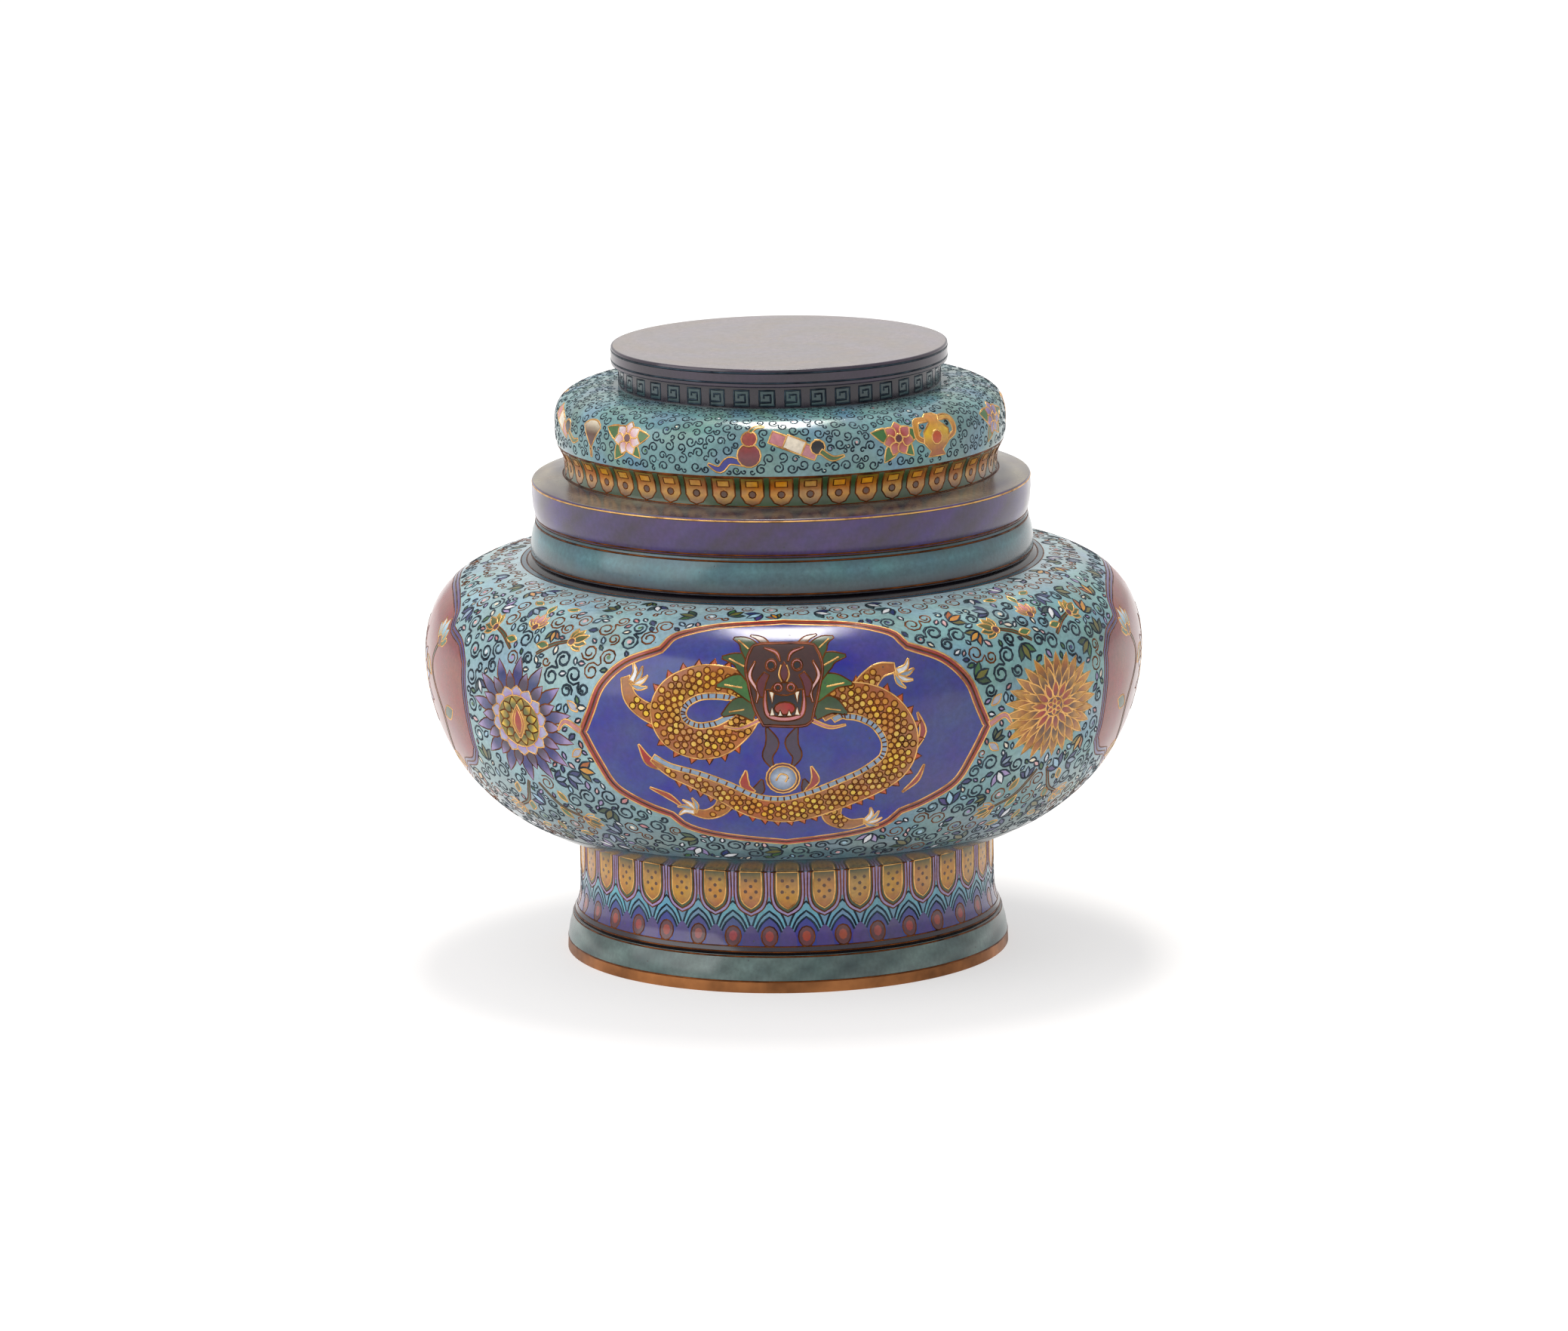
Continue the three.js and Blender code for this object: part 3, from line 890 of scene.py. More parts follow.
def sprig(sheet, x, s, turn, size, powders):
    """Three leaves on one foot."""
    for k, powder in zip((-1, 1, 0), powders):
        outline = np.array(petal(size * 1.9, size * 0.85, 0.7, steps=4)) - [0, size * 0.1]
        foot_x, foot_s = x + math.sin(turn) * size * 0.8, s - math.cos(turn) * size * 0.8
        sheet.cell(sheet.laid(outline, foot_x, foot_s, turn + k * 0.75), powder, "ink")


def inside_loop(points, loop):
    """Which points lie inside a closed outline."""
    x, y = points[:, 0][:, None], points[:, 1][:, None]
    a, b = loop, np.roll(loop, -1, axis=0)
    crosses = (a[:, 1] > y) != (b[:, 1] > y)
    slope = (b[:, 0] - a[:, 0]) / np.where(b[:, 1] == a[:, 1], 1e-12, b[:, 1] - a[:, 1])
    return (crosses & (x < a[:, 0] + (y - a[:, 1]) * slope)).sum(axis=1) % 2 == 1


def free_circles(sheet, low, high, largest, smallest, gap, tries, rng):
    """Circles (x, s, radius) packed between two stations, clear of the cells drawn so far."""
    half = sheet.width / 2
    spots = rng.random((tries, 2)) * [sheet.width, high - low] + [-half, low]
    squeeze = sheet.body.radius_at(spots[:, 1]) / sheet.girth
    room = np.minimum(spots[:, 1] - low, high - spots[:, 1])
    loops = [copy for cell in sheet.cells for copy in sheet.copies(cell.loop)]
    for loop in loops:
        lowest, highest = loop.min(axis=0) - largest * 1.6, loop.max(axis=0) + largest * 1.6
        near = np.where(((spots > lowest) & (spots < highest)).all(axis=1))[0]
        if not len(near):
            continue
        away = spots[near][:, None, :] - refined(loop, 1.0)[None, :, :]
        away[:, :, 0] *= squeeze[near][:, None]
        room[near] = np.minimum(room[near], np.hypot(away[:, :, 0], away[:, :, 1]).min(axis=1))
        room[near[inside_loop(spots[near], loop)]] = -1
    circles = np.zeros((0, 3))
    for limit in (largest * 0.9, largest * 0.7, smallest):
        for i in np.where(room > limit + gap)[0]:
            radius = min(room[i] - gap, largest)
            if len(circles):
                dx = (circles[:, 0] - spots[i, 0] + half) % sheet.width - half
                apart = np.hypot(dx * squeeze[i], circles[:, 1] - spots[i, 1]) - circles[:, 2]
                radius = min(radius, apart.min() - gap * 0.6)
            if radius >= limit:
                circles = np.vstack([circles, [spots[i, 0], spots[i, 1], radius]])
    return circles


# %% [markdown]
# A scroll on real enamel is a free wire: it divides nothing, and only holds the glass on a wide
# ground. So a spiral is a line and not a cell here, which also keeps the skin light. A spiral runs
# from its heart to its rim and on to the rim of its partner.

# %% Scrolls wound in the circles
def spiral(radius, start, sense, turns, heart):
    """A spiral from its heart out to the rim, where it ends at the angle `start`."""
    count = max(7, int(turns * 10))
    t = np.linspace(0, 1, count)
    angle = start - sense * (1 - t) * turns * TURN
    reach = radius * (heart + (1 - heart) * t ** 0.9)
    return np.column_stack([reach * np.cos(angle), reach * np.sin(angle)])


def pairs_of(sheet, circles, reach):
    """Which circle each circle is joined to: the nearest one that is still free."""
    half, partner = sheet.width / 2, {}
    for i, (x, s, radius) in enumerate(circles):
        if i in partner:
            continue
        squeeze = sheet.body.radius_at(s) / sheet.girth
        dx = (circles[:, 0] - x + half) % sheet.width - half
        apart = np.hypot(dx * squeeze, circles[:, 1] - s) - circles[:, 2] - radius
        apart[[i] + list(partner)] = 1e9
        nearest = int(np.argmin(apart))
        if apart[nearest] < reach:
            partner[i], partner[nearest] = nearest, i
    return partner


def scrolls(sheet, low, high, largest, smallest, gap, tries, seed, wire_kinds, drop, sprigs,
            turns=1.45, coloured=0.3):
    """Fills the ground with spirals joined in pairs, some with a coloured heart, sprigs and drops.
    Circles smaller than `drop` get a drop of enamel instead of a spiral."""
    rng = np.random.default_rng(seed)
    circles = free_circles(sheet, low, high, largest, smallest, gap, tries, rng)
    drops, circles = circles[circles[:, 2] < drop], circles[circles[:, 2] >= drop]
    leafy = (circles[:, 2] > 0.72 * largest) & (rng.random(len(circles)) < sprigs)
    for x, s, radius in circles[leafy]:
        sprig(sheet, x, s, rng.random() * TURN, radius, SPRIGS[int(rng.random() * len(SPRIGS))])
    circles = circles[~leafy]
    half, partner = sheet.width / 2, pairs_of(sheet, circles, largest * 0.6)
    for i, (x, s, radius) in enumerate(circles):
        squeeze = sheet.body.radius_at(s) / sheet.girth
        sense = 1 if rng.random() < 0.5 else -1
        angle = rng.random() * TURN
        wire = wire_kinds[int(rng.random() * len(wire_kinds))]
        other = partner.get(i)
        if other is not None:
            dx = (circles[other, 0] - x + half) % sheet.width - half
            angle = math.atan2(circles[other, 1] - s, dx * squeeze)
            sense = 1 if i < other else -1
            wire = wire_kinds[min(i, other) % len(wire_kinds)]
        wound = turns if radius > 0.6 * largest else turns * 0.75
        curl = sheet.laid(spiral(radius, angle, sense, wound, 0.3), x, s)
        if other is not None and i < other:
            middle = np.array([x + dx, circles[other, 1]])
            meets = middle - np.array([math.cos(angle) / squeeze, math.sin(angle)]) * circles[other, 2]
            curl = np.vstack([curl, meets])
        sheet.line(curl, wire, 2.0)
        if rng.random() < coloured:
            powder = HEARTS[int(rng.random() * len(HEARTS))]
            sheet.cell(sheet.laid(disc(radius * 0.26, 6), x, s), powder, None)
    for x, s, radius in drops:
        powder = HEARTS[int(rng.random() * len(HEARTS))]
        outline = np.array(petal(radius * 2.6, radius * 1.5, 0.6, steps=3)) - [0, radius * 1.3]
        sheet.cell(sheet.laid(outline, x, s, rng.random() * TURN), powder, "ink")
    return len(circles), len(drops), int(leafy.sum())

# %% [markdown]
# ## The jar's bands, from the foot up
#
# The foot has a bare metal edge, a plain ring, and a groove. Above it stand red ovals under pale
# arches, and a row of gilt lappets hangs from the belly. Each row is one motif repeated thirty-six
# times, so the two rows stay in step, half a pitch apart.

# %% Stations of the jar
FOOT_EDGE = JAR.corner_near(57.0, 0.0)
FOOT_EDGE_TOP = JAR.station_of(2.9, after=FOOT_EDGE)
FOOT_GROOVE = JAR.corner_near(55.1, 10.05)
LIP_FOOT = JAR.corner_near(60.0, 112.8)
LIP_INSIDE = JAR.corner_near(58.4, 105.8)
SHOULDER_TOP = JAR.corner_near(65.35, 101.97)
NECK_BASE = JAR.corner_near(64.4, 103.4)
NECK_TOP = JAR.corner_near(62.5, 112.8)
BORDER_HEIGHT = 17.2
GROUND_TOP = SHOULDER_TOP - 1.7

# %% Foot band
LAPPETS = 36
ARCHES = [(12.0, 9.3, "arch_blue"), (9.6, 7.9, "turquoise_blue"), (8.0, 6.8, "cobalt")]
LAPPET_LAYERS = [(11.4, 8.4, "lilac", "umber"), (10.5, 6.8, "moss", "umber"), (9.5, 5.5, "gold", "gilt")]
LAPPET_SPOTS = [(-1.3, -2.2), (1.3, -2.2), (0.0, -3.7), (-1.4, -5.1), (1.4, -5.1), (0.0, -6.6)]
foot = Sheet(JAR, FOOT_GROOVE, FOOT_TOP, "turquoise_blue", 2.0)
PITCH = foot.width / LAPPETS


def foot_station(height):
    return JAR.station_of(height, after=FOOT_GROOVE)


def arch(height, width):
    """A pointed arch that stands on its foot."""
    points = [(width / 2, 0), (width * 0.47, height * 0.45), (width * 0.28, height * 0.8), (0, height)]
    right = curve(points, 1.4)
    return np.vstack([right, right[-2::-1] * [-1, 1]])


foot.band(foot_station(24.0), FOOT_TOP - 0.2, "lilac", None)
for k in range(LAPPETS):
    x, low = (k - LAPPETS // 2 + 0.5) * PITCH, foot_station(11.0)
    for height, width, powder in ARCHES:
        foot.cell(foot.laid(arch(height, width), x, low), powder, "ink")
    foot.cell(foot.laid(disc(2.1, 12, 1.25), x, low + 3.0), "wine", "umber")
    foot.cell(foot.laid(disc(1.1, 8, 1.25), x, low + 3.1), "brick", None)
for k in range(LAPPETS):
    x, low, top = (k - LAPPETS // 2) * PITCH, foot_station(11.0), FOOT_TOP - 0.25
    foot.cell(foot.laid(arch(6.0, 4.6), x, low), "violet", None)
    for length, width, pigment, wire in LAPPET_LAYERS:
        tongue = [(width / 2, 0.0), (width / 2, -length * 0.6), (width * 0.34, -length * 0.86),
                  (0.0, -length)]
        half = curve(tongue, 1.4)
        loop = foot.laid(np.vstack([half[:-1], half[::-1] * [-1, 1]]), x, top)
        if pigment == "gold":
            pigment = run_of(["moss", "gold", "gold", "amber"], (x, top), (x, top - length))
        foot.cell(loop, pigment, wire)
    for p, q in LAPPET_SPOTS:
        foot.cell(foot.laid(disc(0.5, 6), x + p, top + q), "brown", None)
foot.band(FOOT_GROOVE + 0.15, foot_station(11.4), "dark_plum", "umber")
print("foot band", len(foot.cells), "cells")

# %% [markdown]
# The belly is the picture: four lobed panels, a flower between each two, and scrolls. The panels at
# the sides are coral with a lotus. The photograph hides what they carry, so they are plainer.

# %% Belly
belly = Sheet(JAR, FOOT_TOP, SHOULDER_TOP, "turquoise")


def turquoise_ground(girth, pale, painted_shade, painted_light, strength=1.0):
    """Turquoise in patches, bluer here and greener there and pale in places, with painted shade low down
    and painted light near the shoulder and on the left of the front.
    """
    def laid(x, s):
        turn = x / girth
        a = 0.5 + 0.5 * np.sin(18 * turn + 2.1 * np.sin(0.17 * s + 4 * turn))
        b = 0.5 + 0.5 * np.sin(0.31 * s + 1.9 * np.sin(10 * turn))
        light = pale * np.clip(np.sin(7 * turn + 0.11 * s) * np.sin(0.21 * s + 3 * turn), 0, 1)
        # Painted light: paler towards the shoulder, and on the left of the front where the side lamp falls.
        light = np.maximum(light, 1.9 * painted_light * np.clip((s - GROUND_TOP + 16) / 14, 0, 1))
        light = np.maximum(light, painted_light * (0.5 + 0.5 * np.cos(turn + 0.9)) ** 3)
        bluer = POWDER["turquoise_blue"] - POWDER["turquoise"]
        greener = POWDER["turquoise_green"] - POWDER["turquoise"]
        colour = POWDER["turquoise"] + 0.85 * (a * b)[:, None] * bluer
        colour += 0.7 * ((1 - a) * b)[:, None] * greener
        colour += light[:, None] * (POWDER["ice"] - colour)
        # Painted shade: darker low down, where the belly turns under towards the floor.
        return strength * colour * (1 - painted_shade * np.clip((BELLY_FOOT + 50 - s) / 32, 0, 1))[:, None]
    return laid


# The belly's ground gets painted shade low down and painted light near the shoulder and on the left.
belly.ground = turquoise_ground(belly.girth, pale=0.6, painted_shade=0.58, painted_light=0.5)
belly.band(FOOT_TOP + 0.2, BELLY_FOOT + BORDER_HEIGHT, "deep_teal", "ink")
belly.band(GROUND_TOP, SHOULDER_TOP - 0.2, "neck_blue", "umber")
front_outline = lobed(LOWER_LOBES, UPPER_LOBES)
side_outline = lobed(SIDE_LOWER, SIDE_UPPER)
BACK = belly.width / 2
LEFT_PANEL, RIGHT_PANEL = -90.2, 90.8
panel(belly, 0.0, front_outline, "brick", field_blue)
dragon(belly, 0.0)
panel(belly, BACK, front_outline, "brick", field_blue)
dragon(belly, BACK, -1)
print("front and back panels", len(belly.cells), "cells")


def degrees(angle):
    return math.radians(angle) * belly.girth


for angle in (LEFT_PANEL, RIGHT_PANEL):
    x, s = degrees(angle), BELLY_FOOT + PANEL_MIDDLE
    panel(belly, x, side_outline, "violet", "coral", "umber")
    for side in (-1, 1):
        stalk = [(x + side * p, q) for p, q in ((4, 37), (20, 41), (28, 54), (22, 66), (27, 74))]
        stem(belly, stalk, 1.3)
        bud(belly, x + side * 27, BELLY_FOOT + 74, -side * 0.4, 1.3, ("leaf", "sky", "white"))
        for p, q, turn in ((22, 43, -2.0), (30, 55, -1.2), (20, 64, 1.0), (14, 39, -2.6)):
            leaf(belly, x + side * p, BELLY_FOOT + q, turn * side, 1.7, "moss")
    lotus(belly, x, s - 1, 0.95, ("slate", "sky"))

# %% Flowers between the panels, with their sprays
FLOWERS = [(lotus, -46.6, 60.4, 1.0), (chrysanthemum, 47.2, 62.0, 1.0),
           (chrysanthemum, -133.5, 61.0, 0.95), (lotus, 133.8, 60.4, 0.82)]
LOOSE_LEAVES = [(0, 30, 0), (-5.5, 33, 1.4), (5.5, 33, -1.4), (0, -31, 3.1), (-7, -34, 1.8), (7, -34, -1.8)]
for flower, angle, middle, size in FLOWERS:
    flower(belly, degrees(angle), BELLY_FOOT + middle, size)
for _, angle, middle, _ in FLOWERS:
    x = degrees(angle)
    for side in (-1, 1):
        stem(belly, [(x + side * 5, middle + 18), (x + side * 9.5, middle + 21),
                     (x + side * 14, middle + 22.5)])
        bud(belly, x + side * 15, BELLY_FOOT + middle + 22.5, side * -1.1, 0.95)
        leaf(belly, x + side * 8, BELLY_FOOT + middle + 20.5, side * 1.6, 0.9)
        stem(belly, [(x + side * 2, middle - 17), (x + side * 7, middle - 24),
                     (x + side * 13, middle - 27)])
        bud(belly, x + side * 14, BELLY_FOOT + middle - 27.5, side * -2.0, 0.9, ("moss", "sky", "violet"))
        leaf(belly, x + side * 6, BELLY_FOOT + middle - 24.5, side * -2.6, 1.0)
        leaf(belly, x + side * 10, BELLY_FOOT + middle - 22.0, side * 0.5, 0.9, "olive")
    for p, q, turn in LOOSE_LEAVES:
        leaf(belly, x + p, BELLY_FOOT + middle + q, turn, 0.85)
    bud(belly, x, BELLY_FOOT + middle + 25, 0.0, 0.9, ("moss", "rose", "pink"))
for x in (0.0, BACK):
    for side in (-1, 1):
        tip = [(x + side * 54.0, 60.6), (x + side * 58.5, 62.5), (x + side * 61, 60)]
        belly.cell(stroke(tip, [1.6, 1.4, 0.5]) + [0, BELLY_FOOT], "rose")
        for q, turn in ((65.5, -0.9), (55.5, -2.2)):
            leaf(belly, x + side * 54.5, BELLY_FOOT + q, side * turn, 0.9, "ash")

# %% Scrolls of the belly, and thinner ones higher on the shoulder
SCROLLS_TOP = GROUND_TOP - 11.0
count = scrolls(belly, BELLY_FOOT + BORDER_HEIGHT + 0.5, SCROLLS_TOP, largest=2.5, smallest=0.62, gap=0.34,
                tries=38000, seed=7, wire_kinds=["ink", "ink", "umber"], drop=1.15, sprigs=0.3)
print("belly: spirals, drops and sprigs", count)
count = scrolls(belly, SCROLLS_TOP, GROUND_TOP - 0.3, largest=2.3, smallest=0.9, gap=0.55,
                tries=9000, seed=8, wire_kinds=["umber"], drop=0.5, sprigs=0.3)
print("shoulder: spirals, drops and sprigs", count)
print("belly", len(belly.cells), "cells")

# %% [markdown]
# The neck, the foot's ring and the inside have no wires to part one colour from another. There the
# powders are laid wet in long streaks that run together. Sums of sine waves give such streaks, and
# each wave takes a whole number of turns round the body, so that they meet at the back.

# %% Neck, foot ring and what a hand finds inside
def streaked(first, second, fine=9):
    """Long streaks round the body, where one powder ran into another."""
    def laid(turn, s):
        slow = np.sin(turn * fine + np.sin(turn * 3) * 2 + s * 0.6)
        quick = np.sin(turn * (2 * fine + 1) + s * 0.4 + 1.0)
        share = np.clip(0.5 + 0.5 * slow * quick, 0, 1)[:, None]
        return POWDER[first] * (1 - share) + POWDER[second] * share
    return laid


def neck_painted_light_and_shade(turn, s):
    """Teal with a painted highlight above the middle of the roll, and plum painted shade where it meets the
    shoulder.
    """
    up = np.clip((s - NECK_BASE) / (NECK_TOP - NECK_BASE), 0, 1)[:, None]
    # The pale middle of the roll is a painted highlight, and the plum low down is painted shade.
    middle = np.sin(np.pi * up ** 1.35) ** 1.4
    edges = streaked("neck_blue", "deep_teal", 5)(turn, s) * up + POWDER["dark_plum"] * (1 - up)
    return edges + (streaked("neck_teal", "neck_painted_highlight", 6)(turn, s) - edges) * middle


JAR_SHEETS = [foot, belly]
# The black ring from the shoulder up to the neck's foot is painted shade in the step between them.
JAR_PLAIN = [(0.0, JAR.corner_near(54.4, 0.0), "deep_teal"),
             (JAR.corner_near(54.4, 0.0), FOOT_EDGE_TOP, "brown"),
             (FOOT_EDGE_TOP, JAR.corner_near(55.4, 9.35), streaked("deep_teal", "ring_teal")),
             (JAR.corner_near(55.4, 9.35), FOOT_GROOVE, "black"),
             (SHOULDER_TOP, NECK_BASE, "black"),
             (NECK_BASE, NECK_TOP, neck_painted_light_and_shade), (NECK_TOP, LIP_FOOT, "neck_blue"),
             (LIP_FOOT, LIP_INSIDE, "brown"), (LIP_INSIDE, JAR.length, "turquoise")]
JAR_RINGS = [(FOOT_EDGE_TOP, "umber"), (JAR.corner_near(55.4, 9.35) - 0.3, "umber"),
             (NECK_BASE + 0.5, "umber"), (NECK_TOP - 1.1, "umber")]
JAR_BARE = [(JAR.corner_near(54.4, 0.0), FOOT_EDGE_TOP), (LIP_FOOT, LIP_INSIDE)]
print("plain parts of the jar", len(JAR_PLAIN), "and rings of wire", len(JAR_RINGS))

# %% [markdown]
# ## The cover's bands
#
# The collar and the disc are plum enamel with thin lines. A row of gilt lappets stands on the
# ledge. The roof has worm scrolls in fine wire, with small lucky things laid among them, and a fret
# of dark teal keys runs under the disc.

# %% Cover stations
COLLAR_FOOT = LID.corner_near(62.5, 112.8)
COLLAR_TOP = LID.corner_near(63.5, 122.7)
BAND_FOOT = LID.corner_near(55.5, 124.3)
ROOF_FOOT = LID.station_of(132.2, after=BAND_FOOT)
ROOF_TOP = LID.corner_near(41.2, 146.8)
FRET_TOP = LID.corner_near(41.2, 152.3)
DISC_FOOT = LID.corner_near(43.0, 152.8)
DISC_RIM = LID.corner_near(42.5, 157.0)

# %% Cover lappets
COVER_LAPPETS = 48
LAPPET_DROP = 7.5
COVER_LAPPET = [(2.9, 0.0), (2.9, -5.2), (1.7, -6.9), (0.0, -LAPPET_DROP),
                (-1.7, -6.9), (-2.9, -5.2), (-2.9, 0.0)]
COVER_WINDOW = [(-1.5, -2.7), (1.5, -2.7), (1.5, -0.9), (-1.5, -0.9)]
roof = Sheet(LID, BAND_FOOT, ROOF_TOP, "turquoise", 2.0)
roof.ground = turquoise_ground(roof.girth, pale=0.3, painted_shade=0.0, painted_light=0.0, strength=0.8)
roof.band(BAND_FOOT + 0.2, ROOF_FOOT, "moss", "umber")
for k in range(COVER_LAPPETS):
    x = (k - COVER_LAPPETS // 2) * roof.width / COVER_LAPPETS
    top = ROOF_FOOT - 0.35
    shaded = run_of(["olive", "amber", "gold", "brown"], (x, top), (x, top - LAPPET_DROP))
    roof.cell(roof.laid(COVER_LAPPET, x, top), shaded, "umber")
    roof.cell(roof.laid(COVER_WINDOW, x, top), "gold", "umber")
    roof.cell(roof.laid(disc(0.9, 8), x, top - 4.7), "brown", "umber")

# %% [markdown]
# The small things on the roof are common wishes for luck: a gourd, a rolled scroll, a fan, a peony
# and a vase. Each is a function of its place, so that it can be set more than once, and the back of
# the cover is filled with the same few things.

# %% The lucky things on the roof
ROOF_MIDDLE = LID.station_of(139.6, after=BAND_FOOT)


def on_roof(angle, outline, pigment, rise=0.0, turn=0.0, size=1.0, wire="gilt", aside=0.0):
    x = math.radians(angle) * roof.girth + aside
    if isinstance(pigment, list):
        pigment = run_of(pigment, (x, ROOF_MIDDLE + rise - 3), (x, ROOF_MIDDLE + rise + 4))
    roof.cell(roof.laid(outline, x, ROOF_MIDDLE + rise, turn, size), pigment, wire)


def gourd(angle):
    ribbon = stroke([(-1.0, -4.0), (-5.0, -3.2), (-7.5, -5.5), (-10.5, -4.2)], [1.2, 1.9, 1.9, 0.6])
    on_roof(angle, ribbon, "cobalt")
    on_roof(angle, disc(3.0, 14), ["wine", "brick"], -1.8)
    on_roof(angle, disc(2.0, 12), "brick", 2.4)
    on_roof(angle, stroke([(0, 4.2), (1.4, 5.8), (3.4, 6.0)], [1.0, 0.9, 0.5]), "leaf")


def rolled_scroll(angle):
    on_roof(angle, stroke([(-6.0, 3.0), (0, 0.5), (5.5, -1.8)], [3.4, 3.2, 3.2]), "rose")
    on_roof(angle, stroke([(-2.4, 1.8), (2.2, -0.2)], [3.6, 3.6]), "cream")
    on_roof(angle, disc(1.9, 10), "black", aside=5.8)
    on_roof(angle, stroke([(6.5, -1.0), (9.5, -3.0), (12.5, -2.4)], [1.2, 1.3, 0.5]), "leaf")


def gold_vase(angle):
    right = [(0.9, 6.4), (1.9, 5.4), (1.2, 3.6), (3.2, 1.2), (3.2, -1.6), (1.5, -3.8), (2.2, -5.2)]
    body = np.array(right + [(-p, q) for p, q in right[::-1]]) * [1.35, 1.0]
    for side in (-1, 1):
        handle = [(side * 1.8, 4.6), (side * 5.6, 4.2), (side * 6.4, 0.4), (side * 4.0, -1.2)]
        on_roof(angle, stroke(handle, [1.4, 1.6, 1.4, 1.0]), ["amber", "gold"])
    on_roof(angle, body, ["amber", "yellow", "gold"])
    on_roof(angle, disc(1.8, 9), "orange", -0.4)


def peony(angle, powders):
    x, s = math.radians(angle) * roof.girth, ROOF_MIDDLE + 0.6
    for turn, size in ((1.3, 1.1), (-1.4, 1.0), (2.5, 1.0), (-2.4, 0.9)):
        on_roof(angle, petal(7.2, 3.6, 0.8), "leaf", rise=0.6, turn=turn, size=size)
    around(roof, petal(3.5, 3.1, 0.1), x, s, 7, 1.0, powders)
    on_roof(angle, disc(1.2, 8), "wine", 0.6)


def fan(angle, powders):
    sector = [(0, -3.6)] + [(4.2 * math.sin(a), 0.4 + 3.4 * math.cos(a)) for a in np.linspace(1.1, -1.1, 9)]
    on_roof(angle, sector, powders)
    on_roof(angle, stroke([(0, -3.4), (0, -5.8)], [0.9, 0.7]), "brown")


# %% Set the lucky things round the roof, by degrees from the front
gourd(-7.9)
rolled_scroll(3.5)
peony(31.0, ["brick", "rose"])
gold_vase(43.0)
peony(-42.0, ["rose", "white"])
fan(-56.0, ["wine", "brown", "cream"])
peony(70.0, ["violet", "lilac"])
fan(90.0, ["brick", "gold"])
rolled_scroll(118.0)
gourd(-97.0)
gold_vase(-128.0)
peony(-150.0, ["amber", "yellow"])
peony(156.0, ["rose", "pink"])
rolled_scroll(-75.0)
count = scrolls(roof, ROOF_FOOT + 0.4, ROOF_TOP - 0.5, largest=1.4, smallest=0.6, gap=0.26, tries=30000,
                seed=11, wire_kinds=["hair"], drop=0.0, sprigs=0.0, turns=1.2, coloured=0.12)
print("roof", len(roof.cells), "cells; spirals, drops and sprigs", count)

# %% Fret under the disc
FRET_KEYS = 40
FRET_MIDDLE = (ROOF_TOP + FRET_TOP) / 2 - 0.2
FRET_SQUARE = [(-1.9, -2.0), (1.9, -2.0), (1.9, 2.0), (-1.9, 2.0)]
FRET_KEY = [(-1.9, -1.0), (0.9, -1.0), (0.9, 0.9), (-0.8, 0.9), (-0.8, 0.0)]
fret = Sheet(LID, ROOF_TOP, FRET_TOP, "dark_plum", 2.0)
for k in range(FRET_KEYS):
    x = (k - FRET_KEYS / 2 + 0.5) * fret.width / FRET_KEYS
    fret.cell(fret.laid(FRET_SQUARE, x, FRET_MIDDLE), "fret_teal", "ink")
    fret.line(fret.laid(FRET_KEY, x, FRET_MIDDLE), "ink")
print("fret", len(fret.cells), "cells")

# %% Plain parts of the cover
LID_SHEETS = [roof, fret]
# The grey streaks on the ledge are painted reflection over plum, and the pale greys on top of the disc are
# painted reflection of the white surroundings.
LID_PLAIN = [(0.0, LID.corner_near(60.4, 112.8), "turquoise"),
             (LID.corner_near(60.4, 112.8), COLLAR_FOOT + 0.6, "brown"),
             (COLLAR_FOOT + 0.6, COLLAR_TOP, streaked("plum", "collar_violet", 14)),
             (COLLAR_TOP, BAND_FOOT, streaked("plum", "ledge_painted_reflection", 4)),
             (FRET_TOP, DISC_RIM, streaked("dark_plum", "plum", 3)),
             (DISC_RIM, LID.length, streaked("disc_painted_reflection_warm", "disc_painted_reflection", 3))]
LID_RINGS = [(COLLAR_FOOT + 1.0, "umber"), (COLLAR_TOP - 0.6, "gilt"), (DISC_FOOT + 0.7, "ink"),
             (DISC_RIM - 1.3, "ink"), (BAND_FOOT - 0.3, "umber")]
LID_BARE = [(LID.corner_near(60.4, 112.8), COLLAR_FOOT + 0.6)]
print("plain parts of the cover", len(LID_PLAIN), "and rings of wire", len(LID_RINGS))

# %% [markdown]
# ## The wires
#
# On the real jar a flat wire stands between any two cells, ground flush and gilt where it shows. It
# would take a patient hand to draw each one as a tube. Here Geometry Nodes follow the lines: the
# edges of the cells and the free scrolls become curves, each point keeps the direction of the
# surface under it, and a small three-sided strip is drawn along, so that it lies flat everywhere.

